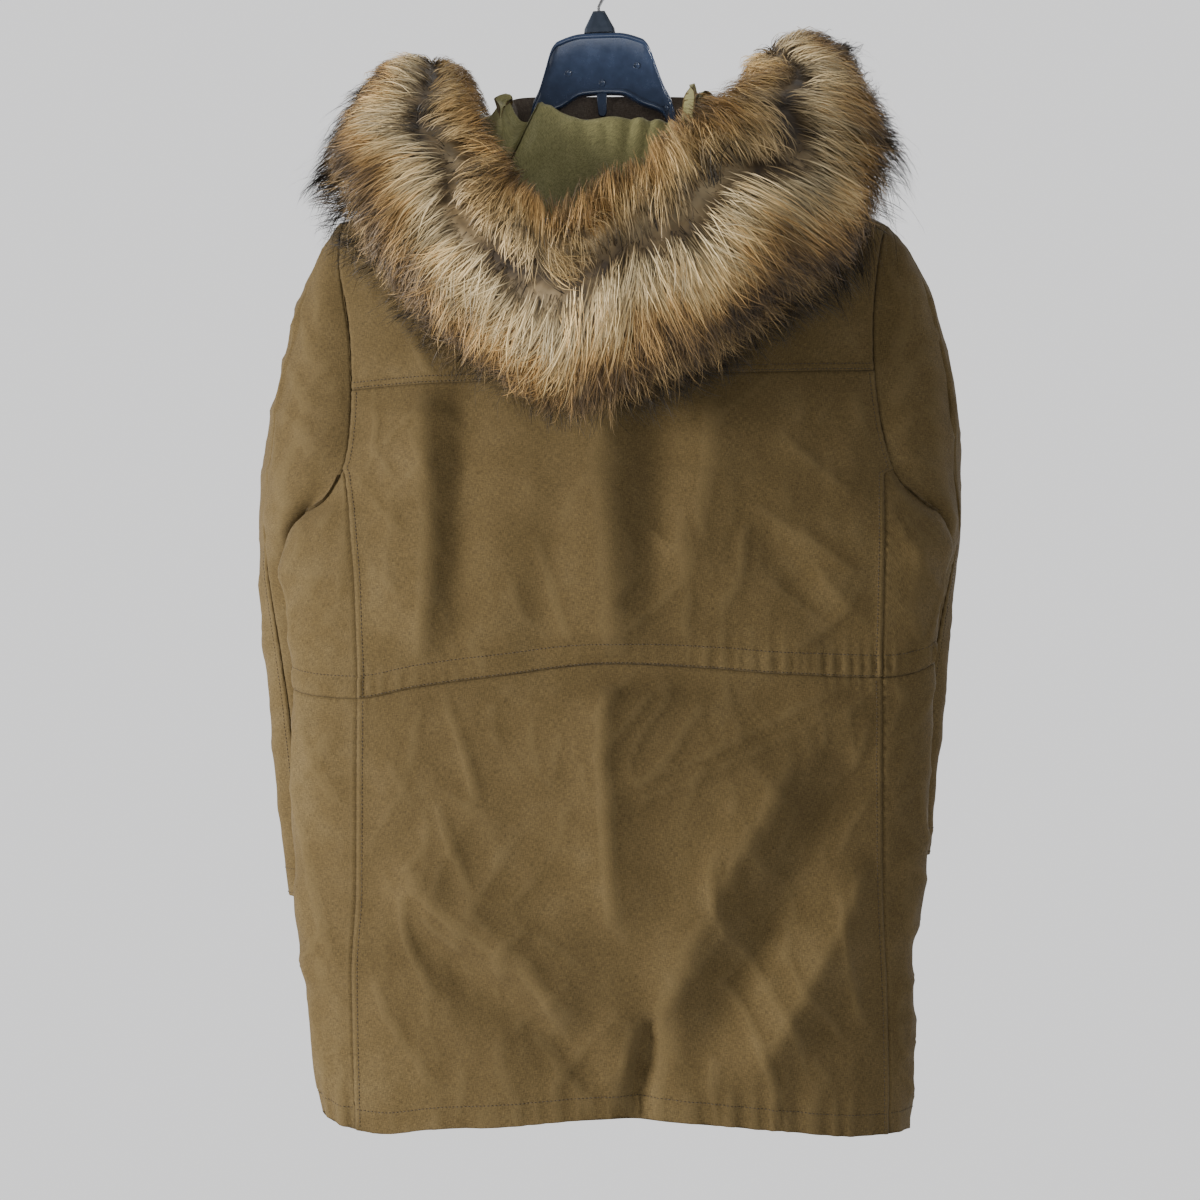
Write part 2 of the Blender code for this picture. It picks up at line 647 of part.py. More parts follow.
def make_collar(facing):
    """Stand collar on the neck seam, low at the back and high at the chin."""
    angles = list(np.linspace(-179.5, -90, FRONT_COLUMNS + 1))
    angles += list(np.linspace(-90, 90, BACK_COLUMNS + 1))[1:]
    angles += list(np.linspace(90, 179.5, FRONT_COLUMNS + 1))[1:]
    outer, inner = [], []
    for rise in (0.0, 0.35, 0.7, 1.0):
        outer_row, inner_row = [], []
        for angle in angles:
            foot, flat = neck_frame(angle)
            front = (1 - math.cos(math.radians(angle))) / 2
            height = mix(COLLAR_BACK, COLLAR_FRONT, front ** 1.6)
            spot = foot + np.array((0, 0, NECK_CLEAR + height * rise))
            spot -= flat * (SEAM_GAP + COLLAR_LEAN * height * rise)
            outer_row.append(spot)
            inner_row.append(spot - flat * WALL)
        outer.append(outer_row)
        inner.append(inner_row)
    walled("collar", np.array(outer), np.array(inner), facing)


# ---------------------------------------------------------------- sleeves
SLEEVE_OF = {name: column(SLEEVE, SLEEVES, name) for name in SLEEVE}


def on_armhole(side, turn, measure):
    """A measure of the body on the straight stretches between an armhole's seam points."""
    turns = armhole_loop(side)
    at = int(min(max(np.searchsorted(turns, turn) - 1, 0), len(turns) - 2))
    share = (turn - turns[at]) / (turns[at + 1] - turns[at])
    return mix(measure(*armhole(side, turns[at])), measure(*armhole(side, turns[at + 1])), share)


def sleeve_point(side, z, around, back, front):
    """Point of the section at a height; it starts and ends at the back and front points."""
    word = "left" if side == LEFT else "right"

    def size(name):
        return smooth(SLEEVE_OF["z"], SLEEVE_OF[name], z)

    outer = np.array((AXIS_X + side * size(f"outer_{word}"), size("outer_y"), z))
    inner = np.array((AXIS_X + side * size(f"inner_{word}"), size("inner_y"), z))
    turn = 2 * math.pi * around
    depth = np.array((0.0, size("depth"), 0.0))
    middle = (outer + inner) / 2
    ring = middle + (inner - middle) * math.cos(turn) - depth * math.sin(turn)
    ring += (back - inner) * max(1 - around / SLEEVE_END, 0.0) ** 2
    ring += (front - inner) * max(1 - (1 - around) / SLEEVE_END, 0.0) ** 2
    end, swing = (back, turn / 2) if around <= 0.5 else (front, math.pi - turn / 2)
    bow = np.array((mix(end[0], outer[0], math.sin(swing)),
                    mix(outer[1], end[1], math.cos(swing)), z))
    closed = min(max((OPEN_Z - z) / (OPEN_Z - ARMPIT_Z), 0.0), 1.0)
    return mix(bow, ring, closed * closed * (3 - 2 * closed))


def cap_turn(cap, around):
    """Turn of the armhole at a share of the way over the shoulder, from the back to the front."""
    return mix(cap, 0.0, 2 * around) if around <= 0.5 else mix(360.0, 360.0 - cap, 2 * around - 1)


def sleeve_grid(side):
    """Rows from the shoulder to the cuff; the ends follow the armhole, then the inner seam."""
    shares = np.linspace(0.0, 1.0, SLEEVE_COLUMNS + 1)
    turns = [turn for turn in armhole_loop(side) if turn <= 180.0]
    cap = turns[1]
    grid = [[on_armhole(side, cap_turn(cap, u), body) for u in shares]]
    for turn in turns[2:]:
        back = body(*armhole(side, turn))
        front = body(*armhole(side, 360.0 - turn))
        grid.append([sleeve_point(side, back[2], u, back, front) for u in shares])
        grid[-1][0], grid[-1][-1] = back, front
    word = "left" if side == LEFT else "right"
    for drop in SLEEVE_ROWS:
        z = ARMPIT_Z - drop
        inner = np.array((AXIS_X + side * smooth(SLEEVE_OF["z"], SLEEVE_OF[f"inner_{word}"], z),
                          smooth(SLEEVE_OF["z"], SLEEVE_OF["inner_y"], z), z))
        row = [sleeve_point(side, z, u, inner, inner) for u in shares]
        if side == RIGHT:
            lift = np.array((0.0, 0.0, RIGHT_SLEEVE_RISE * (drop / SLEEVE_ROWS[-1]) ** 2))
            row = [spot + lift for spot in row]
        grid.append(row)
    return np.array(grid), len(turns) - 2


def make_sleeve(side, word, shell):
    grid, open_rows = sleeve_grid(side)
    rows, columns = grid.shape[:2]
    last = columns - 1
    normal = np.zeros_like(grid)
    for i in range(rows):
        for j in range(columns):
            before, after = max(j - 1, 0), min(j + 1, last)
            if i > open_rows and j in (0, last):
                before, after = last - 1, 1
            down = grid[min(i + 1, rows - 1), j] - grid[max(i - 1, 0), j]
            normal[i, j] = unit(np.cross(down, grid[i, after] - grid[i, before])) * side
    turns = armhole_loop(side)
    edge = [(0, j, cap_turn(turns[1], j / last)) for j in range(columns)]
    for i in range(1, open_rows + 1):
        edge += [(i, 0, turns[i + 1]), (i, last, 360.0 - turns[i + 1])]
    for i, j, turn in edge:
        seam_normal = on_armhole(side, turn, body_normal)
        alike = min(max(float(np.dot(normal[i, j], seam_normal)) / SEAM_ALIKE, 0.0), 1.0)
        normal[i, j] = mix(normal[i, j], seam_normal, alike)
    normal[open_rows, 0] = unit(normal[open_rows, 0] + normal[open_rows, last])
    normal[open_rows, last] = normal[open_rows, 0]
    for name, first, end in (("under", 0, SLEEVE_CUT), ("top", SLEEVE_CUT, last)):
        outer = tighten(grid[:, first:end + 1], (False, True), (False, False), SLEEVE_EASE)
        outer[0] += (outer[1] - outer[0]) * CAP_EASE
        walled(f"sleeve_{word}_{name}", outer, outer - normal[:, first:end + 1] * WALL, shell)


# ---------------------------------------------------------------- hood and ruff
RUFF_OF = {name: column(RUFF, RUFFS, name) for name in RUFF}


def ruff_frame(at):
    """Middle, inward direction, direction to the coat, half width and half depth of the ruff."""
    def edge(which, index, lean):
        x = spline(RUFF_OF[f"{which}_x"], index)
        z = spline(RUFF_OF[f"{which}_z"], index)
        y = spline(RUFF_OF["y"], index)
        return np.array((x, y + lean, z))

    def middle(index):
        index = min(max(index, 0.0), len(RUFFS) - 1.0)
        return (edge("inner", index, 0.0) + edge("outer", index, 0.0)) / 2

    back = max(-spline(RUFF_OF["y"], at) / 0.17, 0.0)
    inner = edge("inner", at, -RUFF_LEAN * back)
    outer = edge("outer", at, RUFF_LEAN * back)
    tangent = unit(middle(at + 0.3) - middle(at - 0.3))
    inward = unit(inner - outer)
    to_coat = unit(np.cross(inward, tangent))
    half_depth = spline(RUFF_OF["half"], at)
    return (inner + outer) / 2, inward, to_coat, np.linalg.norm(inner - outer) / 2, half_depth


def make_ruff(fur):
    """Fur along the hood's edge, as full as the pile stands."""
    stations = np.linspace(0.0, len(RUFFS) - 1.0, 2 * len(RUFFS) - 1)
    vertices, faces = [], []
    for s in stations:
        middle, inward, to_coat, half, deep = ruff_frame(s)
        for k in range(RUFF_SIDES):
            turn = 2 * math.pi * k / RUFF_SIDES
            vertices.append(middle + inward * half * math.cos(turn) + to_coat * deep * math.sin(turn))
    for i in range(len(stations) - 1):
        for k in range(RUFF_SIDES):
            nxt = (k + 1) % RUFF_SIDES
            base, above = i * RUFF_SIDES, (i + 1) * RUFF_SIDES
            faces.append((base + k, base + nxt, above + nxt, above + k))
    faces.append(tuple(range(RUFF_SIDES)))
    faces.append(tuple(range(len(vertices) - RUFF_SIDES, len(vertices))))
    make_object("fur_ruff", vertices, faces, fur, flat_over=80.0)


def ruff_outline(at, turn, out):
    """Point beside the ruff: turn 0 is its inner edge and 90 the side that faces the coat."""
    middle, inward, to_coat, half, deep = ruff_frame(at)
    turn = math.radians(turn)
    return middle + inward * (half + out) * math.cos(turn) + to_coat * (deep + out) * math.sin(turn)


def hood_controls(at):
    """Control points of the hood's outer face, from the neck seam to its edge."""
    hang = min(max(spline(RUFF_OF["hang"], at), 0.0), 1.0)
    crest_up = spline(RUFF_OF["crest_up"], at)
    foot, flat = neck_frame(spline(RUFF_OF["neck_angle"], at))
    up = np.array((0.0, 0.0, 1.0))
    foot = foot + up * HOOD_FOOT_UP + flat * HOOD_FOOT_OUT
    lift = foot + up * 0.7 * crest_up
    crest = foot + up * crest_up + flat * CREST_OUT
    rest = mix(SIDE_REST, RUFF_REST, hang)
    edge_turn = mix(SIDE_TURN, HUNG_TURN, hang)
    edge = ruff_outline(at, edge_turn, rest)
    over = crest + flat * ROLL_OUT - up * 0.2 * crest_up
    bottom = ruff_outline(at, edge_turn + 60, rest + POUCH_DROP)
    deep = bottom + ruff_frame(at)[2] * POUCH_DEPTH
    low = ruff_outline(at, edge_turn + 30, rest + 0.006)
    hung = [foot, lift, crest, over, mix(over, deep, 0.5), deep, bottom, low, edge]
    shares = [k / (len(hung) - 1) for k in range(len(hung))]
    plain = [mix(foot, edge, share) + up * SIDE_ARCH * 4 * share * (1 - share) for share in shares]
    folded = min(max((hang - FOLD_FROM) / (1 - FOLD_FROM), 0.0), 1.0)
    return [mix(a, b, folded * folded * (3 - 2 * folded)) for a, b in zip(plain, hung)]


def hood_grid(first, last, count, steps, depth):
    """Grid of hood points pushed in by depth from the outer face, and the normals."""
    spots = np.linspace(first, last, count + 1)

    def surface(at, step):
        return rounded(hood_controls(at), step)

    grid = np.array([[surface(at, s) for at in spots] for s in steps])
    normal = np.zeros_like(grid)
    for i, s in enumerate(steps):
        for j, at in enumerate(spots):
            along = surface(min(at + 0.1, len(RUFFS) - 1), s) - surface(max(at - 0.1, 0), s)
            up = surface(at, min(s + 0.05, HOOD_STEPS[-1])) - surface(at, max(s - 0.05, 0.0))
            normal[i, j] = unit(np.cross(along, up))
    return grid - normal * depth, normal


def make_hood(shell, lining):
    last = len(RUFFS) - 1
    for word, first, end, count in (("left", 0, HOOD_CUT_LEFT, 12),
                                    ("centre", HOOD_CUT_LEFT, HOOD_CUT_RIGHT, 12),
                                    ("right", HOOD_CUT_RIGHT, last, 10)):
        ends = (word == "left", word == "right")
        outer, normal = hood_grid(first, end, count, HOOD_STEPS, 0.0)
        outer = tighten(outer, (True, True), ends, HOOD_EASE)
        walled(f"hood_{word}", outer, outer - normal * HOOD_WALL, shell)
        face, normal = hood_grid(first, end, count, HOOD_STEPS, HOOD_WALL + SEAM_GAP)
        face = tighten(face, (True, True), ends, HOOD_EASE)
        walled(f"hood_lining_{word}", face, face - normal * LINING_WALL, lining)


# ---------------------------------------------------------------- hanger
def tilted(point):
    """A hanger point after the hanger has swung with the coat."""
    x, y, z = point
    c, s = math.cos(HANGER_TILT), math.sin(HANGER_TILT)
    return (x * c - z * s, y, x * s + z * c)


def hanger_edges(half):
    """Top and bottom height of the hanger's body at a distance from its middle."""
    line = NECK_Z - SHOULDER_SLOPE * (half - NECK_HALF) - ARM_DROP
    top_x, top_z = zip(*HANGER_TOP)
    low_x, low_z = zip(*HANGER_BOTTOM)
    top = smooth(np.array(top_x), np.array(top_z), half)
    if half > ARM_FROM:
        top = min(top, line)
    bottom = smooth(np.array(low_x), np.array(low_z), half)
    if half > ARM_UNDER:
        bottom = min(bottom, line - ARM_HEIGHT)
    return top, bottom


def make_hanger_body(plastic):
    """Moulded plate with a raised rim round both faces."""
    halves = (0.0, 0.008, 0.016, 0.028, 0.040, 0.0455, 0.050, 0.054, 0.0595, 0.063, 0.066, 0.0695,
              0.073, 0.079, 0.088, 0.098, 0.112, 0.13, 0.15, 0.17, HANGER_END, 0.193, HANGER_HALF)
    xs = [-h for h in reversed(halves[1:])] + list(halves)
    vertices, faces = [], []
    for x in xs:
        top, bottom = hanger_edges(abs(x))
        end = 1.0
        if abs(x) > HANGER_END:
            end = max(0.0, 1.0 - (abs(x) - HANGER_END) / TIP_LENGTH)
        mid = (top + bottom) / 2
        tall = (top - bottom) / 2 * (0.45 + 0.55 * end)
        rim = min(HANGER_RIM, tall * 0.4)
        web = HANGER_WEB if abs(x) < HANGER_END else HANGER_THICK
        levels = ((tall, HANGER_THICK), (tall - rim, HANGER_THICK), (tall - rim * 1.25, web),
                  (-tall + rim * 1.25, web), (-tall + rim, HANGER_THICK), (-tall, HANGER_THICK))
        ring = [(x, -t, mid + z) for z, t in levels] + [(x, t, mid + z) for z, t in reversed(levels)]
        vertices += [tilted(p) for p in ring]
    size = 12
    for i in range(len(xs) - 1):
        for k in range(size):
            nxt = (k + 1) % size
            faces.append((i * size + k, (i + 1) * size + k, (i + 1) * size + nxt, i * size + nxt))
    for base in (0, (len(xs) - 1) * size):
        for k in range(5):
            faces.append((base + k, base + k + 1, base + 10 - k, base + 11 - k))
    make_object("hanger_body", vertices, faces, plastic, flat_over=35.0)


def make_hook(steel):
    """Bent wire: a stem and an open round hook."""
    centre_z = WIRE_RADIUS - HOOK_RADIUS
    path = [(0.0, MARKER_BASE_Z), (0.0, -0.060), (0.0, -0.050), (0.0035, -0.0435)]
    for k in range(HOOK_STEPS + 1):
        turn = math.radians(mix(HOOK_START, HOOK_END, k / HOOK_STEPS))
        path.append((HOOK_RADIUS * math.cos(turn), centre_z + HOOK_RADIUS * math.sin(turn)))
    path = [np.array(tilted((x, 0.0, z))) for x, z in path]
    depth = np.array((0.0, 1.0, 0.0))
    vertices, faces = [], []
    for i, spot in enumerate(path):
        along = unit(path[min(i + 1, len(path) - 1)] - path[max(i - 1, 0)])
        across = np.cross(along, depth)
        for k in range(WIRE_SIDES):
            turn = 2 * math.pi * k / WIRE_SIDES
            vertices.append(spot + (across * math.cos(turn) + depth * math.sin(turn)) * WIRE_RADIUS)
    for i in range(len(path) - 1):
        base = i * WIRE_SIDES
        for k in range(WIRE_SIDES):
            after = (k + 1) % WIRE_SIDES
            faces.append((base + k, base + after, base + WIRE_SIDES + after, base + WIRE_SIDES + k))
    faces.append(tuple(range(WIRE_SIDES)))
    faces.append(tuple(range(len(vertices) - WIRE_SIDES, len(vertices))))
    make_object("hanger_hook", vertices, faces, steel)


def make_size_marker(plastic):
    """Plain clip on the hook's stem, bored for the wire."""
    top, base, deep = 0.0060, 0.0150, 0.0070
    rows = ((MARKER_BASE_Z, base, deep), (MARKER_BASE_Z + 0.004, base - 0.0006, deep),
            (MARKER_TOP_Z - 0.002, top + 0.0008, deep * 0.8), (MARKER_TOP_Z, top, deep * 0.6))
    bore = WIRE_RADIUS + SEAM_GAP
    sides = 16
    vertices, faces = [], []
    for z, half, half_y in rows:
        for k in range(sides):
            turn = 2 * math.pi * (k + 0.5) / sides
            c, s = math.cos(turn), math.sin(turn)
            vertices.append(tilted((half * math.copysign(abs(c) ** 0.35, c),
                                    half_y * math.copysign(abs(s) ** 0.35, s), z)))
    for z, _, _ in rows:
        for k in range(sides):
            turn = 2 * math.pi * (k + 0.5) / sides
            vertices.append(tilted((bore * math.cos(turn), bore * math.sin(turn), z)))
    shift = sides * len(rows)
    for i in range(len(rows) - 1):
        for k in range(sides):
            nxt = (k + 1) % sides
            a, b = i * sides, (i + 1) * sides
            faces.append((a + k, a + nxt, b + nxt, b + k))
            faces.append((shift + b + k, shift + b + nxt, shift + a + nxt, shift + a + k))
    for base_row in (0, (len(rows) - 1) * sides):
        for k in range(sides):
            nxt = (k + 1) % sides
            faces.append((base_row + k, base_row + nxt, shift + base_row + nxt, shift + base_row + k))
    make_object("size_marker", vertices, faces, plastic, flat_over=35.0)


def main():
    for thing in list(bpy.data.objects):
        bpy.data.objects.remove(thing)
    shell = fabric("olive_cotton", (0.170, 0.120, 0.055), 0.80)
    lining = fabric("green_lining", (0.190, 0.180, 0.060), 0.45)
    facing = fabric("brown_facing", (0.190, 0.140, 0.110), 0.75)
    fur = fabric("banded_fur", (0.480, 0.340, 0.170), 0.85)
    plastic = fabric("hanger_plastic", (0.012, 0.016, 0.026), 0.25)
    steel = fabric("hook_steel", (0.560, 0.560, 0.560), 0.30, metallic=1.0)
    make_back_yoke(shell)
    make_back_upper(shell)
    make_back_lower(shell)
    for side, word in ((LEFT, "left"), (RIGHT, "right")):
        make_side(side, word, shell)
        make_front(side, word, shell)
        make_sleeve(side, word, shell)
    make_storm_flap(shell)
    make_collar(facing)
    make_ruff(fur)
    make_hood(shell, lining)
    make_hanger_body(plastic)
    make_hook(steel)
    make_size_marker(plastic)


main()
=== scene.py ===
"""Looks of the fur trimmed parka, seen from behind on its moulded hanger.

Metres, +Z up, the parka's back faces -Y. The body is one closed ring at each height: a ring angle
of 0 degrees is the middle of the back, -90 the left side edge, +90 the right side edge and 180 the
middle of the front. Each cloth piece is that surface divided finely, with its creases, puckered
seams and rows of stitches, in the place of its plain solid.
"""
import math

import bmesh
import bpy
import numpy as np
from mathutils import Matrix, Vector, noise


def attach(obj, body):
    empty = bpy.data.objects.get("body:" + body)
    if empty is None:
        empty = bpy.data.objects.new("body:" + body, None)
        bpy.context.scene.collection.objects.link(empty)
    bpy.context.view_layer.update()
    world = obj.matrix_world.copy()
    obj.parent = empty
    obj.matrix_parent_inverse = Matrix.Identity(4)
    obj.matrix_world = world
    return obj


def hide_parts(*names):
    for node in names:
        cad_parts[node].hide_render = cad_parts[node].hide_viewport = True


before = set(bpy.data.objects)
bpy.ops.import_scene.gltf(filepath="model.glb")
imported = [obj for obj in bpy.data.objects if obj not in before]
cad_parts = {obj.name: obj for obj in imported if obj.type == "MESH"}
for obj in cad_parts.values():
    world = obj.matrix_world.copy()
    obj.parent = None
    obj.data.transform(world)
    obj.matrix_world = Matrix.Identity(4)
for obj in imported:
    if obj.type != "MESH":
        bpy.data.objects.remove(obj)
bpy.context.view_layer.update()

LEFT = -1
RIGHT = 1

# ---------------------------------------------------------------- driving sizes
SEAM_GAP = 0.0003          # between neighbouring pieces
LINING_WALL = 0.001
HOOD_WALL = 0.0012

AXIS_X = 0.0146            # middle of the coat, beside the hook's axis
NECK_HALF = 0.100
NECK_Z = -0.195
NECK_DIP_BACK = 0.006      # rise of the neck seam at the middle of the back
NECK_DIP_FRONT = 0.030
SHOULDER_Z = -0.262
SHOULDER_SLOPE = 0.411
ARMPIT_Z = -0.535
JUNCTION_Z = -0.495        # where the side seams leave the armhole
ARMHOLE_SPREAD = 33.0      # degrees of ring between the side edge and the armhole seam
ARMHOLE_SQUARE = 0.6       # power that squares the armhole off
OPEN_Z = -0.430            # the sleeve's section starts to close on the inner side below this
SLEEVE_END = 0.3           # share of the way round over which the section meets the armhole
HEM_CASING = 0.020

# ring sections of the body: height, half widths, y of the side edge, of the back and of the front,
# and how square the section is
SECTION = ("z", "left", "right", "edge", "back", "front", "square")
SECTIONS = (
    (-0.180, 0.100, 0.100, 0.000, -0.056, 0.046, 2.3),
    (-0.200, 0.113, 0.113, 0.000, -0.059, 0.047, 2.4),
    (-0.262, 0.263, 0.264, -0.002, -0.068, 0.051, 2.6),
    (-0.322, 0.290, 0.282, -0.002, -0.078, 0.055, 2.6),
    (-0.390, 0.289, 0.288, -0.002, -0.088, 0.058, 2.6),
    (-0.450, 0.284, 0.290, -0.006, -0.095, 0.060, 2.6),
    (-0.495, 0.279, 0.290, -0.018, -0.100, 0.060, 2.6),
    (-0.522, 0.280, 0.298, -0.028, -0.102, 0.060, 2.6),
    (-0.545, 0.295, 0.311, -0.036, -0.103, 0.060, 2.6),
    (-0.565, 0.306, 0.317, -0.040, -0.104, 0.060, 2.6),
    (-0.590, 0.311, 0.308, -0.042, -0.104, 0.060, 2.6),
    (-0.625, 0.304, 0.303, -0.041, -0.102, 0.059, 2.6),
    (-0.690, 0.298, 0.300, -0.038, -0.097, 0.056, 2.7),
    (-0.790, 0.297, 0.296, -0.036, -0.100, 0.058, 2.7),
    (-0.890, 0.297, 0.291, -0.034, -0.100, 0.058, 2.7),
    (-0.945, 0.292, 0.281, -0.031, -0.098, 0.057, 2.7),
    (-1.000, 0.284, 0.283, -0.028, -0.096, 0.056, 2.7),
    (-1.060, 0.280, 0.284, -0.025, -0.094, 0.054, 2.7),
    (-1.115, 0.268, 0.276, -0.022, -0.091, 0.052, 2.7),
)
SHOULDER_SECTION = 2       # the row at the shoulder's tip

# seam heights round the ring: angle, waist seam, hem edge
SEAM = ("angle", "waist", "hem")
SEAMS = (
    (-180, -0.690, -1.090),
    (-130, -0.690, -1.092),
    (-90, -0.698, -1.095),
    (-52, -0.706, -1.105),
    (-36, -0.695, -1.097),
    (-20, -0.685, -1.092),
    (0, -0.674, -1.086),
    (17, -0.678, -1.091),
    (30, -0.683, -1.097),
    (55, -0.687, -1.108),
    (90, -0.674, -1.112),
    (130, -0.688, -1.095),
    (180, -0.690, -1.090),
)
YOKE_LEFT_Z = -0.4223
YOKE_RIGHT_Z = -0.4037

# distance of the side seams from the coat's middle
SIDE_SEAM = ("z", "back_left", "back_right", "front")
SIDE_SEAMS = (
    (-0.495, 0.2475, 0.2500, 0.250),
    (-0.545, 0.2400, 0.2480, 0.238),
    (-0.610, 0.2345, 0.2470, 0.228),
    (-0.690, 0.2335, 0.2465, 0.221),
    (-0.880, 0.2340, 0.2470, 0.221),
    (-0.960, 0.2390, 0.2520, 0.222),
    (-1.115, 0.2370, 0.2570, 0.222),
)

# large folds: x and z of both ends, width, depth (a ridge is negative), and the side they are on
# x0, z0, x1, z1, width, depth, side
FOLDS = (
    (-0.118, -0.430, -0.128, -0.640, 0.024, 0.0080, "back"),
    (0.058, -0.430, 0.045, -0.600, 0.030, 0.0080, "back"),
    (-0.030, -0.520, -0.050, -0.660, 0.022, 0.0040, "back"),
    (0.228, -0.770, 0.093, -1.030, 0.028, 0.0110, "back"),
    (0.250, -0.900, 0.150, -1.040, 0.024, -0.0070, "back"),
    (-0.141, -0.930, -0.006, -1.040, 0.024, 0.0090, "back"),
    (-0.190, -0.890, -0.110, -0.975, 0.022, 0.0050, "back"),
    (0.054, -0.990, 0.034, -1.090, 0.020, 0.0100, "back"),
    (0.160, -0.560, 0.220, -0.660, 0.022, 0.0050, "back"),
    (-0.150, -0.400, -0.110, -0.620, 0.024, 0.0070, "front"),
    (0.150, -0.420, 0.120, -0.640, 0.026, 0.0070, "front"),
    (-0.160, -0.780, -0.080, -1.040, 0.026, 0.0090, "front"),
    (0.180, -0.800, 0.090, -1.050, 0.024, 0.0080, "front"),
)
FOLD_TAPER = 0.12          # share of a fold's rounded taper that is cut off at each end
WAIST_CINCH = 0.006        # how far the drawcord draws the waist in, and over what height
WAIST_CINCH_HALF = 0.028
WAIST_Z = -0.680
SEAM_LOOKUP = {"back": 53, "front": 130}   # ring angles that set the row heights at the side seams

# sleeve sections by height: half distances from the coat's middle to the outermost and innermost
# points, their depths front to back, and the section's own half depth
SLEEVE = ("z", "outer_left", "outer_right", "outer_y", "inner_left", "inner_right", "inner_y", "depth")
SLEEVES = (
    (-0.262, 0.264, 0.266, -0.002, 0.262, 0.264, -0.002, 0.045),
    (-0.309, 0.287, 0.296, 0.000, 0.256, 0.250, -0.011, 0.045),
    (-0.365, 0.305, 0.317, 0.006, 0.250, 0.244, -0.011, 0.045),
    (-0.425, 0.323, 0.330, 0.014, 0.242, 0.243, -0.012, 0.045),
    (-0.485, 0.335, 0.335, 0.026, 0.250, 0.254, -0.010, 0.044),
    (-0.535, 0.341, 0.338, 0.036, 0.294, 0.310, -0.014, 0.041),
    (-0.548, 0.342, 0.338, 0.042, 0.298, 0.312, 0.002, 0.039),
    (-0.560, 0.343, 0.338, 0.047, 0.297, 0.309, 0.017, 0.038),
    (-0.600, 0.345, 0.336, 0.056, 0.277, 0.285, 0.042, 0.037),
    (-0.640, 0.345, 0.335, 0.063, 0.252, 0.256, 0.057, 0.035),
    (-0.680, 0.342, 0.333, 0.066, 0.232, 0.235, 0.065, 0.033),
    (-0.720, 0.339, 0.329, 0.068, 0.220, 0.221, 0.072, 0.032),
    (-0.770, 0.334, 0.325, 0.068, 0.213, 0.213, 0.077, 0.030),
    (-0.820, 0.328, 0.320, 0.067, 0.211, 0.211, 0.076, 0.029),
    (-0.868, 0.3245, 0.317, 0.066, 0.213, 0.213, 0.073, 0.028),
    (-0.907, 0.3205, 0.312, 0.065, 0.217, 0.217, 0.071, 0.027),
)
RIGHT_SLEEVE_RISE = 0.040  # the right sleeve is pushed up by this much at its cuff

# fur ruff sections along the hood's edge, from the left front end round the back to the right one
RUFF = ("inner_x", "inner_z", "outer_x", "outer_z", "y", "half", "neck_angle", "crest_up", "hang")
RUFFS = (
    (-0.050, -0.240, -0.108, -0.232, 0.104, 0.024, -158, 0.006, 0.0),
    (-0.072, -0.200, -0.150, -0.190, 0.098, 0.028, -144, 0.018, 0.0),
    (-0.100, -0.155, -0.185, -0.140, 0.066, 0.032, -124, 0.046, 0.0),
    (-0.114, -0.134, -0.200, -0.112, 0.014, 0.036, -104, 0.070, 0.0),
    (-0.110, -0.152, -0.214, -0.140, -0.040, 0.038, -86, 0.078, 0.0),
    (-0.096, -0.190, -0.240, -0.213, -0.086, 0.038, -70, 0.060, 0.0),
    (-0.078, -0.228, -0.228, -0.280, -0.119, 0.038, -55, 0.048, 0.40),
    (-0.064, -0.253, -0.175, -0.345, -0.144, 0.038, -41, 0.039, 0.85),
    (-0.052, -0.262, -0.118, -0.402, -0.159, 0.037, -27, 0.022, 1.0),
    (-0.026, -0.264, -0.044, -0.446, -0.168, 0.037, -13, 0.015, 1.0),
    (0.002, -0.253, 0.010, -0.451, -0.172, 0.037, 0, 0.016, 1.0),
    (0.028, -0.248, 0.076, -0.431, -0.168, 0.037, 13, 0.016, 1.0),
    (0.048, -0.230, 0.145, -0.382, -0.160, 0.038, 27, 0.022, 0.85),
    (0.060, -0.210, 0.190, -0.348, -0.149, 0.038, 40, 0.036, 0.60),
    (0.073, -0.192, 0.224, -0.312, -0.132, 0.038, 52, 0.044, 0.30),
    (0.086, -0.180, 0.254, -0.255, -0.107, 0.039, 63, 0.058, 0.0),
    (0.100, -0.165, 0.262, -0.205, -0.082, 0.040, 74, 0.080, 0.0),
    (0.136, -0.146, 0.252, -0.150, -0.044, 0.038, 88, 0.078, 0.0),
    (0.142, -0.118, 0.234, -0.098, 0.010, 0.036, 104, 0.074, 0.0),
    (0.128, -0.146, 0.212, -0.134, 0.066, 0.032, 124, 0.046, 0.0),
    (0.102, -0.196, 0.172, -0.188, 0.098, 0.028, 144, 0.018, 0.0),
    (0.076, -0.238, 0.128, -0.232, 0.104, 0.024, 158, 0.006, 0.0),
)
POUCH_DROP = 0.022         # hanging hood below the fur's base
POUCH_DEPTH = 0.014        # and between its two walls
RUFF_LEAN = 0.012          # the outer edge lies nearer the coat than the inner edge
RUFF_BACK = 0.17           # distance along -Y at which it leans by all of that
RUFF_SPAN = 0.3            # stations to each side over which the ruff's direction is taken
RUFF_REST = 0.0008         # fur base to hood shell where the hood hangs
SIDE_REST = 0.0022         # and beside the neck
HOOD_CUT_LEFT = 7          # the hood's two seams, by station along the ruff
HOOD_CUT_RIGHT = 15
HUNG_TURN = 74.0           # where the shell's edge meets the fur, around the fur's section
SIDE_TURN = 20.0
FOLD_FROM = 0.2            # share of hanging at which the shell starts to fold over itself
SIDE_ARCH = 0.012          # rise of the shell between neck seam and fur beside the neck
CREST_OUT = 0.003          # roll of the shell over the neck seam: its crest, and where it turns down
ROLL_OUT = 0.012
LIFT_SHARE = 0.7           # the control point before the crest has this share of its height
ROLL_DROP = 0.2            # and the one after it lies lower by this share
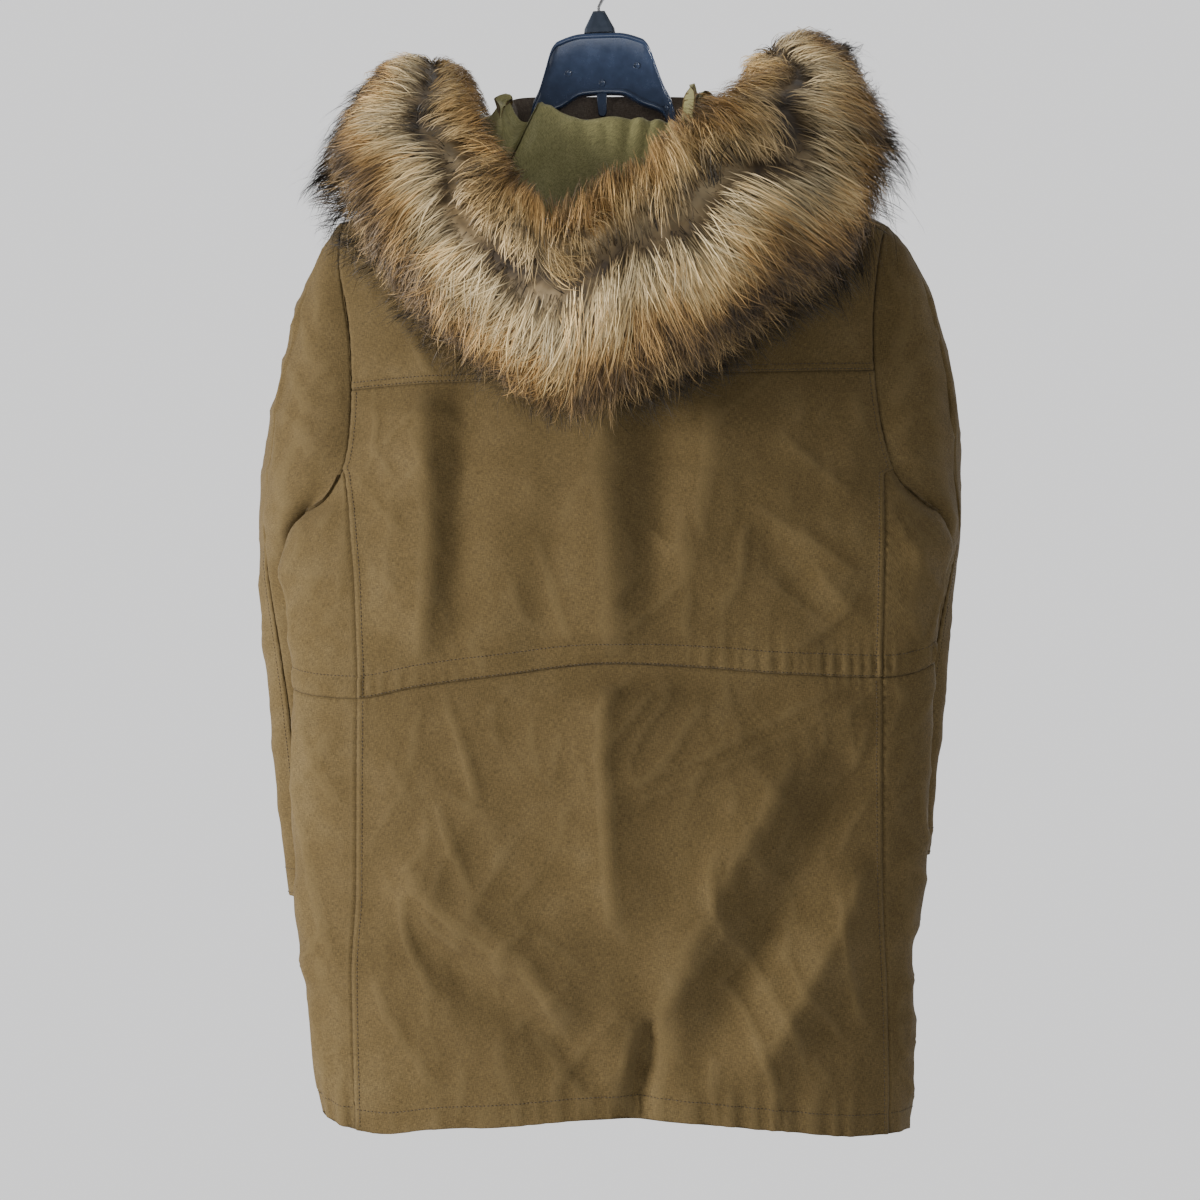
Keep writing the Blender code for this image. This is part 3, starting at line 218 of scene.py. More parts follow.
POUCH_TURNS = (30, 60)     # degrees from the shell's edge to the pouch's lower control points
POUCH_LOW = 0.006
PEAK_WIDTH = 0.8           # stations over which the cloth beside the hanger falls away
HOOD_FOOT_UP = 0.0006      # the shell starts above the neck seam and outside it
HOOD_FOOT_OUT = 0.0039
HOOD_CONTROLS = 8          # stretches between the shell's control points
HOOD_ROWS = 48

COLLAR_BACK = 0.012
COLLAR_FRONT = 0.098
COLLAR_LEAN = 0.14         # inwards, for its height
NECK_CLEAR = 0.0004

FLAP_HALF = 0.030          # storm flap
FLAP_WALL = 0.0025
FLAP_RISE = 0.0006

HANGER_TILT = math.radians(2.0)
HANGER_HALF = 0.196
HANGER_THICK = 0.0060
HANGER_WEB = 0.0032
HANGER_RIM = 0.0045
HANGER_END = 0.186         # the arms' tips round off from here
ARM_FROM = 0.090           # the top edge follows the coat's shoulder from here
ARM_UNDER = 0.112          # and the bottom edge from here
ARM_DROP = 0.0088          # arm's top below the line of the coat's shoulder seam
ARM_HEIGHT = 0.028
# x and z along the edges of the hanger's right half
HANGER_TOP = ((0.0, -0.076), (0.016, -0.0762), (0.040, -0.0825), (0.0455, -0.088), (0.054, -0.112),
              (0.0595, -0.128), (0.066, -0.142), (0.073, -0.177), (0.079, -0.2065), (0.098, -0.2085))
HANGER_BOTTOM = ((0.0, -0.1335), (0.018, -0.1345), (0.038, -0.145), (0.058, -0.1545),
                 (0.065, -0.185), (0.072, -0.224), (0.090, -0.238), (0.112, -0.240))

# how the plain solids are divided, which sets where rows and seams lie
YOKE_ROWS = 5
CHEST_ROWS = 3
WAIST_ROWS = 7
SKIRT_ROWS = 11
ARM_ROWS = YOKE_ROWS + CHEST_ROWS
LOWER_ROWS = WAIST_ROWS + SKIRT_ROWS + 1   # the last one is the hem's casing
SIDE_COLUMNS = 6
SLEEVE_COLUMNS = 14
SLEEVE_CUT = 5             # the column at which the under sleeve meets the top sleeve
# drop of each of the sleeve's rows below the armpit
SLEEVE_ROWS = (0.010, 0.026, 0.050, 0.085, 0.130, 0.180, 0.235, 0.295, 0.338, 0.372)

# ---------------------------------------------------------------- how finely the cloth is divided
BACK_STEP = 0.0046         # metres between neighbouring points
FRONT_STEP = 0.0075
SLEEVE_STEP = 0.0060
HOOD_STEP = 0.0050
WELT_AT = (0.0012, 0.0026, 0.0044, 0.0062, 0.0078, 0.0100)   # closer points beside a seam
WELT_CLEAR = 0.4           # share of a step kept free between them and the even ones
CLOTH = 0.0024             # wall of a cloth piece

# creases: both ends, fall-off to the left and to the right, and height (a trough is negative); they are
# what flat packing and hanging have pressed into the cloth
# x0, z0, x1, z1, left, right, height
BACK_CREASES = (
    (0.012, -0.380, 0.009, -0.680, 0.070, 0.062, 0.0150),
    (0.012, -0.690, 0.009, -0.912, 0.060, 0.075, 0.0140),
    (0.012, -0.685, 0.009, -0.915, 0.010, 0.014, 0.0026),
    (0.008, -0.909, 0.130, -0.915, 0.030, 0.030, 0.0030),
    (0.016, -0.783, 0.232, -0.697, 0.010, 0.016, 0.0040),
    (0.020, -0.797, 0.201, -0.731, 0.008, 0.008, 0.0022),
    (-0.152, -0.380, -0.160, -0.660, 0.040, 0.040, 0.0120),
    (0.102, -0.430, 0.086, -0.600, 0.030, 0.034, 0.0045),
    (0.054, -0.990, 0.034, -1.078, 0.007, 0.009, -0.0065),
    (0.036, -1.000, 0.016, -1.080, 0.010, 0.010, 0.0036),
    (0.255, -0.860, 0.140, -1.040, 0.030, 0.024, 0.0080),
    (0.172, -0.760, 0.052, -1.010, 0.045, 0.030, 0.0115),
    (-0.175, -0.850, -0.020, -1.000, 0.034, 0.045, 0.0100),
    (-0.120, -0.890, -0.050, -0.960, 0.010, 0.012, 0.0018),
    (-0.200, -0.860, -0.120, -0.935, 0.010, 0.012, 0.0016),
    (-0.205, -0.960, -0.150, -1.060, 0.010, 0.014, 0.0022),
    (0.183, -0.553, 0.236, -0.592, 0.006, 0.006, 0.0016),
    (0.196, -0.585, 0.246, -0.640, 0.006, 0.008, 0.0016),
    (0.150, -0.600, 0.215, -0.640, 0.006, 0.007, 0.0012),
    (0.120, -0.520, 0.190, -0.560, 0.008, 0.008, 0.0012),
    (0.170, -0.470, 0.236, -0.520, 0.008, 0.008, 0.0016),
    (-0.225, -0.500, -0.170, -0.560, 0.008, 0.010, 0.0016),
    (-0.222, -0.560, -0.180, -0.610, 0.007, 0.007, 0.0012),
    (-0.060, -0.560, -0.020, -0.650, 0.008, 0.012, 0.0016),
    (-0.190, -0.760, -0.120, -0.860, 0.012, 0.012, 0.0010),
    (0.120, -0.930, 0.220, -1.060, 0.014, 0.014, 0.0016),
    (-0.060, -1.010, 0.000, -1.075, 0.008, 0.010, 0.0018),
    (0.110, -1.030, 0.092, -1.085, 0.007, 0.009, 0.0018),
    (0.170, -1.040, 0.165, -1.090, 0.007, 0.008, 0.0014),
    (-0.120, -1.040, -0.126, -1.085, 0.007, 0.008, 0.0014),
)
SIDE_CREASES = (
    (-0.238, -0.505, -0.292, -0.560, 0.007, 0.010, 0.0026),
    (-0.240, -0.530, -0.296, -0.600, 0.008, 0.010, 0.0020),
    (-0.250, -0.590, -0.296, -0.640, 0.008, 0.010, 0.0016),
    (-0.245, -0.740, -0.285, -0.800, 0.010, 0.012, 0.0016),
    (-0.285, -0.880, -0.250, -0.960, 0.010, 0.012, 0.0020),
    (-0.275, -0.980, -0.245, -1.060, 0.010, 0.012, 0.0018),
    (0.256, -0.500, 0.306, -0.545, 0.007, 0.010, 0.0026),
    (0.258, -0.530, 0.302, -0.590, 0.008, 0.010, 0.0020),
    (0.262, -0.600, 0.300, -0.650, 0.008, 0.010, 0.0016),
    (0.290, -0.740, 0.262, -0.820, 0.010, 0.012, 0.0018),
    (0.290, -0.850, 0.262, -0.950, 0.010, 0.012, 0.0022),
    (0.285, -0.960, 0.262, -1.050, 0.010, 0.012, 0.0018),
)
FRONT_CREASES = (
    (-0.120, -0.400, -0.140, -0.640, 0.030, 0.020, 0.0040),
    (0.120, -0.420, 0.100, -0.640, 0.020, 0.030, 0.0040),
    (-0.180, -0.780, -0.090, -1.020, 0.020, 0.014, 0.0036),
    (0.200, -0.800, 0.110, -1.040, 0.014, 0.020, 0.0036),
    (-0.200, -0.520, -0.140, -0.580, 0.008, 0.008, 0.0016),
    (0.200, -0.510, 0.140, -0.590, 0.008, 0.008, 0.0016),
    (0.060, -0.760, 0.200, -0.720, 0.006, 0.008, 0.0012),
    (-0.060, -0.930, -0.200, -0.960, 0.008, 0.010, 0.0014),
    (0.070, -0.900, 0.180, -0.940, 0.008, 0.010, 0.0014),
)
SLEEVE_CREASES = (
    (-0.262, -0.440, -0.300, -0.385, 0.007, 0.010, 0.0028),
    (-0.262, -0.460, -0.318, -0.430, 0.007, 0.010, 0.0028),
    (-0.262, -0.480, -0.322, -0.500, 0.008, 0.010, 0.0022),
    (-0.285, -0.330, -0.262, -0.400, 0.010, 0.012, 0.0024),
    (-0.300, -0.560, -0.345, -0.620, 0.010, 0.012, 0.0024),
    (-0.345, -0.640, -0.300, -0.700, 0.010, 0.012, 0.0022),
    (-0.300, -0.730, -0.335, -0.780, 0.010, 0.010, 0.0020),
    (-0.330, -0.800, -0.295, -0.850, 0.010, 0.010, 0.0018),
    (0.268, -0.440, 0.306, -0.380, 0.010, 0.007, 0.0028),
    (0.268, -0.460, 0.326, -0.430, 0.010, 0.007, 0.0028),
    (0.268, -0.480, 0.332, -0.500, 0.010, 0.008, 0.0022),
    (0.292, -0.320, 0.272, -0.400, 0.012, 0.010, 0.0024),
    (0.312, -0.560, 0.338, -0.610, 0.010, 0.012, 0.0024),
    (0.338, -0.640, 0.306, -0.690, 0.010, 0.012, 0.0022),
    (0.306, -0.720, 0.334, -0.770, 0.010, 0.010, 0.0020),
    (0.326, -0.790, 0.300, -0.840, 0.010, 0.010, 0.0018),
)
# folds of the hood's cloth, which its lining repeats above the fur
HOOD_CREASES = (
    (-0.092, -0.140, -0.055, -0.230, 0.006, 0.014, 0.0100),
    (-0.066, -0.150, -0.046, -0.225, 0.008, 0.007, 0.0053),
    (-0.040, -0.165, -0.036, -0.240, 0.010, 0.007, 0.0047),
    (-0.016, -0.175, 0.002, -0.245, 0.007, 0.009, 0.0053),
    (0.010, -0.178, 0.008, -0.240, 0.006, 0.008, 0.0037),
    (0.034, -0.172, 0.020, -0.235, 0.008, 0.006, 0.0053),
    (0.052, -0.165, 0.034, -0.228, 0.006, 0.009, 0.0058),
    (0.070, -0.158, 0.046, -0.220, 0.007, 0.007, 0.0063),
    (0.088, -0.150, 0.060, -0.212, 0.006, 0.008, 0.0058),
    (0.106, -0.138, 0.074, -0.200, 0.007, 0.008, 0.0053),
)

# ---------------------------------------------------------------- helpers
TINY = 1e-12               # keeps a length from being nothing where it divides


def clamp(value, low=0.0, high=1.0):
    return min(max(value, low), high)


def mix(a, b, t):
    return a + (b - a) * t


def eased(t):
    """A share from 0 to 1 that starts and stops softly."""
    return t * t * (3 - 2 * t)


def bell(off, width):
    return np.exp(-(off / width) ** 2)


def unit(vectors):
    """Vectors of length 1, along the last axis."""
    return vectors / np.maximum(np.linalg.norm(vectors, axis=-1, keepdims=True), TINY)


def run_along(points):
    """Distance run along a line of points."""
    return np.concatenate(([0.0], np.cumsum(np.linalg.norm(np.diff(points, axis=0), axis=1))))


def read_at(at, places, rows):
    """Rows of values read at a place between them."""
    return np.array([np.interp(at, places, rows[:, k]) for k in range(rows.shape[1])])


def side_word(side):
    return "left" if side == LEFT else "right"


def columns(names, rows):
    """A table's columns by their names."""
    return {name: np.array([row[n] for row in rows], dtype=float) for n, name in enumerate(names)}


def smooth(xs, ys, at):
    """Monotone cubic through the points; xs may rise or fall."""
    if xs[0] > xs[-1]:
        xs, ys = xs[::-1], ys[::-1]
    at = clamp(at, xs[0], xs[-1])
    i = int(clamp(np.searchsorted(xs, at) - 1, 0, len(xs) - 2))
    step = np.diff(xs)
    slope = np.diff(ys) / step

    def tangent(k):
        if k == 0:
            return slope[0]
        if k == len(xs) - 1:
            return slope[-1]
        if slope[k - 1] * slope[k] <= 0:
            return 0.0
        return 2.0 * slope[k - 1] * slope[k] / (slope[k - 1] + slope[k])

    t = (at - xs[i]) / step[i]
    bend_in = t * (1 - t) ** 2 * tangent(i) * step[i]
    bend_out = -t * t * (1 - t) * tangent(i + 1) * step[i]
    return ys[i] * (1 - eased(t)) + ys[i + 1] * eased(t) + bend_in + bend_out


def spline(points, at):
    """Catmull-Rom curve through a list of points, at a fractional index."""
    last = len(points) - 1
    at = clamp(at, 0.0, float(last))
    i = int(min(math.floor(at), last - 1))
    t = at - i
    p1, p2 = points[i], points[i + 1]
    p0 = points[i - 1] if i > 0 else 2 * p1 - p2
    p3 = points[i + 2] if i + 2 <= last else 2 * p2 - p1
    return 0.5 * (2 * p1 + (p2 - p0) * t + (2 * p0 - 5 * p1 + 4 * p2 - p3) * t * t
                  + (3 * p1 - p0 - 3 * p2 + p3) * t ** 3)


def rounded(points, at):
    """Cubic B-spline led by the points; it starts and ends on the first and last one."""
    led = [2 * points[0] - points[1]] + list(points) + [2 * points[-1] - points[-2]]
    at = clamp(at, 0.0, len(points) - 1.0)
    i = int(min(math.floor(at), len(points) - 2))
    t = at - i
    a, b, c, d = led[i:i + 4]
    return (a * (1 - t) ** 3 + b * (3 * t ** 3 - 6 * t ** 2 + 4)
            + c * (-3 * t ** 3 + 3 * t ** 2 + 3 * t + 1) + d * t ** 3) / 6


SECTION_OF = columns(SECTION, SECTIONS)
SEAM_OF = columns(SEAM, SEAMS)
SIDE_OF = columns(SIDE_SEAM, SIDE_SEAMS)
SLEEVE_OF = columns(SLEEVE, SLEEVES)
RUFF_OF = columns(RUFF, RUFFS)


def section(name, z):
    """A size of the body's ring; over the shoulder its half width follows the shoulder's slope."""
    if name in ("left", "right") and z > SHOULDER_Z:
        edge = SECTION_OF[name][SHOULDER_SECTION]
        return edge - (z - SHOULDER_Z) * (edge - NECK_HALF) / (NECK_Z - SHOULDER_Z)
    return smooth(SECTION_OF["z"], SECTION_OF[name], z)


def fold_depth(x, z, side):
    """How far the cloth is pushed in by the large folds and the drawn waist."""
    depth = WAIST_CINCH * bell(z - WAIST_Z, WAIST_CINCH_HALF)
    for x0, z0, x1, z1, width, deep, where in FOLDS:
        if where != side:
            continue
        run_x, run_z = x1 - x0, z1 - z0
        near = clamp(((x - x0) * run_x + (z - z0) * run_z) / (run_x ** 2 + run_z ** 2))
        off = math.hypot(x - x0 - near * run_x, z - z0 - near * run_z)
        taper = math.sin(math.pi * mix(FOLD_TAPER, 1 - FOLD_TAPER, near)) ** 0.5
        depth += deep * taper * bell(off, width)
    return depth


def body(angle, z):
    """Point of the body's outer face at a ring angle in degrees and a height."""
    turn = math.radians(angle)
    across = math.sin(turn)
    half = section("left" if across < 0 else "right", z)
    edge = section("edge", z)
    fullness = math.sqrt(max(1.0 - abs(across) ** section("square", z), 0.0))
    x = AXIS_X + half * across
    side, inward = ("back", 1.0) if math.cos(turn) >= 0 else ("front", -1.0)
    reach = section(side, z) - edge + inward * fold_depth(x, z, side)
    return np.array((x, edge + reach * fullness, z))


def body_normal(angle, z, turn=2.0, rise=0.004):
    """Outward normal of the body's outer face, from its neighbours at a small turn and rise."""
    along = body(angle + turn, z) - body(angle - turn, z)
    up = body(angle, z + rise) - body(angle, z - rise)
    return unit(np.cross(along, up))


def neck_z(angle):
    """Height of the neck seam."""
    middle = math.cos(math.radians(angle))
    if middle >= 0:
        return NECK_Z + NECK_DIP_BACK * middle ** 2
    return NECK_Z - NECK_DIP_FRONT * middle ** 2


def armhole(side, turn):
    """Ring angle and height on an armhole seam; turn 0 is the shoulder and 180 the armpit."""
    middle = (SHOULDER_Z + ARMPIT_Z) / 2
    z = middle + (SHOULDER_Z - middle) * math.cos(math.radians(turn))
    sway = math.sin(math.radians(turn))
    spread = ARMHOLE_SPREAD * math.copysign(abs(sway) ** ARMHOLE_SQUARE, sway)
    return side * (90.0 - spread), z


def armhole_turn(z):
    """The turn at which the armhole's back half passes a height."""
    middle = (SHOULDER_Z + ARMPIT_Z) / 2
    return math.degrees(math.acos((z - middle) / (SHOULDER_Z - middle)))


def seam_z(name, angle):
    """Height of the waist seam or the hem at any ring angle."""
    return smooth(SEAM_OF["angle"], SEAM_OF[name], (angle + 180.0) % 360.0 - 180.0)


def side_seam(side, face, height):
    """Ring angle of a side seam at a height."""
    offset = smooth(SIDE_OF["z"], SIDE_OF["front" if face == "front" else f"back_{side_word(side)}"], height)
    lean = math.degrees(math.asin(offset / section(side_word(side), height)))
    return side * (lean if face == "back" else 180.0 - lean)


def row_height(angle, row, top):
    """Height of a row below the armholes; row 0 is the top and the last one the hem."""
    waist = seam_z("waist", angle)
    if row <= WAIST_ROWS:
        return mix(top, waist, row / WAIST_ROWS)
    hem = seam_z("hem", angle)
    if row <= WAIST_ROWS + SKIRT_ROWS:
        return mix(waist, hem + HEM_CASING, (row - WAIST_ROWS) / SKIRT_ROWS)
    return hem


def seam_angle(side, face, row):
    """Ring angle where a row meets a side seam, the same for both neighbours."""
    return side_seam(side, face, row_height(side * SEAM_LOOKUP[face], row, JUNCTION_Z))


def neck_frame(angle):
    """Neck seam point and the level direction away from the neck."""
    out = body_normal(angle, neck_z(angle))
    return body(angle, neck_z(angle)), unit(np.array((out[0], out[1], 0.0)))


def sleeve_size(name, z):
    return smooth(SLEEVE_OF["z"], SLEEVE_OF[name], z)


def sleeve_edge(side, which, z):
    """Outermost or innermost point of a sleeve at a height."""
    reach = sleeve_size(f"{which}_{side_word(side)}", z)
    return np.array((AXIS_X + side * reach, sleeve_size(f"{which}_y", z), z))


def sleeve_point(side, z, around, back, front):
    """Point of the section at a height; it starts and ends at the back and front points."""
    outer, inner = sleeve_edge(side, "outer", z), sleeve_edge(side, "inner", z)
    turn = 2 * math.pi * around
    depth = np.array((0.0, sleeve_size("depth", z), 0.0))
    middle = (outer + inner) / 2
    ring = middle + (inner - middle) * math.cos(turn) - depth * math.sin(turn)
    ring += (back - inner) * max(1 - around / SLEEVE_END, 0.0) ** 2
    ring += (front - inner) * max(1 - (1 - around) / SLEEVE_END, 0.0) ** 2
    end, swing = (back, turn / 2) if around <= 0.5 else (front, math.pi - turn / 2)
    bow = np.array((mix(end[0], outer[0], math.sin(swing)),
                    mix(outer[1], end[1], math.cos(swing)), z))
    return mix(bow, ring, eased(clamp((OPEN_Z - z) / (OPEN_Z - ARMPIT_Z))))


def cap_turn(cap, around):
    """Turn of the armhole at a share of the way over the shoulder, from the back to the front."""
    return mix(cap, 0.0, 2 * around) if around <= 0.5 else mix(360.0, 360.0 - cap, 2 * around - 1)


def ruff_frame(at):
    """Middle, inward direction, direction to the coat, half width and half depth of the ruff."""
    def edge(which, index, lean):
        x = spline(RUFF_OF[f"{which}_x"], index)
        z = spline(RUFF_OF[f"{which}_z"], index)
        y = spline(RUFF_OF["y"], index)
        return np.array((x, y + lean, z))

    def middle(index):
        index = clamp(index, 0.0, len(RUFFS) - 1.0)
        return (edge("inner", index, 0.0) + edge("outer", index, 0.0)) / 2

    back = max(-spline(RUFF_OF["y"], at) / RUFF_BACK, 0.0)
    inner = edge("inner", at, -RUFF_LEAN * back)
    outer = edge("outer", at, RUFF_LEAN * back)
    tangent = unit(middle(at + RUFF_SPAN) - middle(at - RUFF_SPAN))
    inward = unit(inner - outer)
    to_coat = unit(np.cross(inward, tangent))
    half_depth = spline(RUFF_OF["half"], at)
    return (inner + outer) / 2, inward, to_coat, np.linalg.norm(inner - outer) / 2, half_depth


def ruff_outline(at, turn, out):
    """Point beside the ruff: turn 0 is its inner edge and 90 the side that faces the coat."""
    middle, inward, to_coat, half, deep = ruff_frame(at)
    turn = math.radians(turn)
    return middle + inward * (half + out) * math.cos(turn) + to_coat * (deep + out) * math.sin(turn)


# where the hood's cloth stands up beside the hanger: station along the ruff, height
LINING_PEAKS = ((5.6, 0.052), (14.1, 0.042), (15.7, 0.030))


def hood_controls(at):
    """Control points of the hood's outer face, from the neck seam to its edge."""
    hang = clamp(spline(RUFF_OF["hang"], at))
    crest_up = spline(RUFF_OF["crest_up"], at)
    foot, flat = neck_frame(spline(RUFF_OF["neck_angle"], at))
    up = np.array((0.0, 0.0, 1.0))
    foot = foot + up * HOOD_FOOT_UP + flat * HOOD_FOOT_OUT
    lift = foot + up * LIFT_SHARE * crest_up
    crest = foot + up * crest_up + flat * CREST_OUT
    over = crest + flat * ROLL_OUT - up * ROLL_DROP * crest_up
    rest = mix(SIDE_REST, RUFF_REST, hang)
    edge_turn = mix(SIDE_TURN, HUNG_TURN, hang)
    edge = ruff_outline(at, edge_turn, rest)
    low = ruff_outline(at, edge_turn + POUCH_TURNS[0], rest + POUCH_LOW)
    bottom = ruff_outline(at, edge_turn + POUCH_TURNS[1], rest + POUCH_DROP)
    deep = bottom + ruff_frame(at)[2] * POUCH_DEPTH
    hung = [foot, lift, crest, over, mix(over, deep, 0.5), deep, bottom, low, edge]
    arch = SIDE_ARCH + sum(tall * bell(at - place, PEAK_WIDTH) for place, tall in LINING_PEAKS)
    plain = [mix(foot, edge, s) + up * arch * 4 * s * (1 - s) for s in np.linspace(0.0, 1.0, len(hung))]
    folded = eased(clamp((hang - FOLD_FROM) / (1 - FOLD_FROM)))
    return [mix(a, b, folded) for a, b in zip(plain, hung)]


def tilted(point):
    """A hanger point after the hanger has swung with the coat."""
    x, y, z = point
    c, s = math.cos(HANGER_TILT), math.sin(HANGER_TILT)
    return (x * c - z * s, y, x * s + z * c)


def hanger_edges(half):
    """Top and bottom height of the hanger's body at a distance from its middle."""
    line = NECK_Z - SHOULDER_SLOPE * (half - NECK_HALF) - ARM_DROP
    top = smooth(*np.array(HANGER_TOP).T, half)
    if half > ARM_FROM:
        top = min(top, line)
    bottom = smooth(*np.array(HANGER_BOTTOM).T, half)
    if half > ARM_UNDER:
        bottom = min(bottom, line - ARM_HEIGHT)
    return top, bottom


# ---------------------------------------------------------------- grids of cloth
def steps_between(length, step, welts):
    """Shares along a length, evenly spaced, with closer ones beside the ends that are seams."""
    count = max(int(round(length / step)), 3)
    shares = set(np.linspace(0.0, 1.0, count + 1))
    for at_end, welt in zip((False, True), welts):
        if not welt:
            continue
        reach = (WELT_AT[-1] + WELT_CLEAR * step) / length
        shares = {s for s in shares if (1 - s if at_end else s) > reach or s in (0.0, 1.0)}
        shares |= {1 - w / length if at_end else w / length for w in WELT_AT}
    return np.array(sorted(shares))


def body_grid(rows):
    return np.array([[body(a, z) for a, z in row] for row in rows])


def row_turn(side, row):
    """Turn of the armhole at a fractional row: rows up to YOKE_ROWS are the yoke's."""
    at_yoke = armhole_turn(YOKE_LEFT_Z if side == LEFT else YOKE_RIGHT_Z)
    if row <= YOKE_ROWS:
        return at_yoke * row / YOKE_ROWS
    return mix(at_yoke, armhole_turn(JUNCTION_Z), (row - YOKE_ROWS) / CHEST_ROWS)


def armhole_at(side, row):
    return armhole(side, row_turn(side, row))


def upper_row(row, shares):
    (left, left_z), (right, right_z) = armhole_at(LEFT, row), armhole_at(RIGHT, row)
    return [(mix(left, right, u), mix(left_z, right_z, u)) for u in shares]


def lower_row(row, shares):
    left, right = seam_angle(LEFT, "back", row), seam_angle(RIGHT, "back", row)
    angles = [mix(left, right, u) for u in shares]
    return [(a, row_height(a, row, JUNCTION_Z)) for a in angles]


def neck_row(share, angles):
    return [(a, mix(neck_z(a), SHOULDER_Z, share)) for a in angles]


def side_row(side, row, shares):
    turn = armhole_turn(JUNCTION_Z)
    spots = []
    for u in shares:
        top_angle, top_z = armhole(side, mix(turn, 360 - turn, u))
        if row <= 0:
            spots.append((top_angle, top_z))
            continue
        angle = mix(seam_angle(side, "back", row), seam_angle(side, "front", row), u)
        spots.append((angle, row_height(angle, row, top_z)))
    return spots


def front_row(side, row, shares):
    """Row of a front: up to 0 it is the shoulder's, then the armhole's, then below it."""
    if row < 0:
        return neck_row(1 + row, [side * mix(90, 180, u) for u in shares])
    if row <= ARM_ROWS:
        angle, z = armhole_at(side, row)
        angle = side * 180 - angle
        return [(mix(angle, side * 180, u), z) for u in shares]
    below = row - ARM_ROWS
    angles = [mix(seam_angle(side, "front", below), side * 180, u) for u in shares]
    return [(a, row_height(a, below, JUNCTION_Z)) for a in angles]


def row_values(marks, step, welts):
    """Fractional rows through stretches (from, to, length); welts say which outer ends are seams."""
    values = []
    for n, (first, last, length) in enumerate(marks):
        ends = (welts[0] and n == 0, welts[1] and n == len(marks) - 1)
        shares = steps_between(length, step, ends)
        values += [mix(first, last, s) for s in (shares if n == 0 else shares[1:])]
    return values


def along(grid, axis):
    """Distance run along one axis of a grid of points."""
    gaps = np.linalg.norm(np.diff(grid, axis=axis), axis=2)
    pad = ((1, 0), (0, 0)) if axis == 0 else ((0, 0), (1, 0))
    return np.pad(np.cumsum(gaps, axis=axis), pad)


def grid_normals(grid, sign):
    return unit(np.cross(np.gradient(grid, axis=0), np.gradient(grid, axis=1)) * sign)


NOISE_STRIDE = (7.31, 3.17, 5.77)    # where one seed's noise lies from the one before it
NOISE_GAIN = 1.6


def bumps(grid, size, seed, stretch=1.0):
    """Soft noise over a grid of points, from about -1 to 1, drawn out in height by the stretch."""
    shift = Vector([seed * stride for stride in NOISE_STRIDE])
    flat = grid.reshape(-1, 3) / (np.array((1.0, 1.0, stretch)) * size)
    made = [noise.noise(Vector(p) + shift) for p in flat]
    return np.array(made).reshape(grid.shape[:2]) * NOISE_GAIN


CREASE_REACH = 0.22        # share of its length over which a crease rises and fades
CREASE_START = 0.35        # how much of that it has risen by at its very ends
CREASE_BEND = 0.022        # how far it sways aside, as a share of its length
CREASE_WAVES = (4.2, 31.0)           # how fast that runs along it, and from crease to crease
CREST = 0.14               # its crest is rounded over this share of its narrower fall-off
CREST_LIMITS = (0.0012, 0.0075)      # but between these, in metres
CREST_MOST = 0.35          # and by no more than this share of the fall-off on its own side
CREASE_FALL = 1.4          # steepness of its flanks


def creases(grid, table):
    """Height of a table of creases over a grid; each fades out towards its ends."""
    x, z = grid[..., 0], grid[..., 2]
    height = np.zeros(x.shape)
    for x0, z0, x1, z1, left, right, tall in table:
        run = np.array((x1 - x0, z1 - z0))
        length = np.hypot(*run)
        unit_x, unit_z = run / length
        at = ((x - x0) * unit_x + (z - z0) * unit_z) / length
        sway = CREASE_BEND * length * np.sin(CREASE_WAVES[0] * at + CREASE_WAVES[1] * x0)
        off = (x - x0) * -unit_z + (z - z0) * unit_x + sway
        ends = np.clip(np.minimum(at, 1 - at) / CREASE_REACH + CREASE_START, 0.0, 1.0)
        fall = np.where(off > 0, right, left)
        blunt = np.minimum(np.clip(CREST * min(left, right), *CREST_LIMITS) / fall, CREST_MOST)
        sharp = np.sqrt((off / fall) ** 2 + blunt ** 2) - blunt
        height += tall * np.exp(-sharp * CREASE_FALL) * eased(ends)
    return height


# thin crooked ridges: slant in degrees, size and height
WRINKLES = ((24.0, 0.046, 0.0034), (-38.0, 0.034, 0.0026), (8.0, 0.022, 0.0012))
WRINKLE_LENGTH = 3.2       # length of a ridge for its breadth
WRINKLE_SHARP = 5
WRINKLE_PATCH = 0.110      # size of the patches that have them, and how much of the cloth these take up
WRINKLE_COVER = 0.35


def wrinkles(grid, seed):
    """Thin crooked ridges in slanted directions, in patches."""
    height = np.zeros(grid.shape[:2])
    for n, (turn, size, tall) in enumerate(WRINKLES):
        c, s = math.cos(math.radians(turn)), math.sin(math.radians(turn))
        turned = np.stack((grid[..., 0] * c + grid[..., 2] * s, grid[..., 1],
                           (grid[..., 2] * c - grid[..., 0] * s) / WRINKLE_LENGTH), axis=2)
        ridge = 1 - np.abs(bumps(turned, size, seed + 30 + n))
        where = np.clip(bumps(grid, WRINKLE_PATCH, seed + 40 + n) + WRINKLE_COVER, 0.0, 1.0)
        height += tall * np.clip(ridge, 0.0, 1.0) ** WRINKLE_SHARP * where
    return height


# how gathers drift along a border and swell: share or size, length and turn for each seed
SEAM_DRIFT = ((2.1, 0.043, 1.0), (1.3, 0.019, 2.7))
SEAM_SWELL = (0.4, 0.071, 1.9)
BAND_DRIFT = ((2.4, 0.057, 1.0), (1.5, 0.023, 2.3), (1.2, 0.0091, 1.7))
BAND_SWELL = (0.45, 0.083, 1.0)


def gathers(run, pitch, seed, drift, swell):
    """Uneven waves along a border, from -1 to 1."""
    phase = sum(size * np.sin(run / length + turn * seed) for size, length, turn in drift)
    share, length, turn = swell
    swollen = 1 - share + share * np.sin(run / length + turn * seed)
    return np.sin(2 * math.pi * run / pitch + phase) * swollen


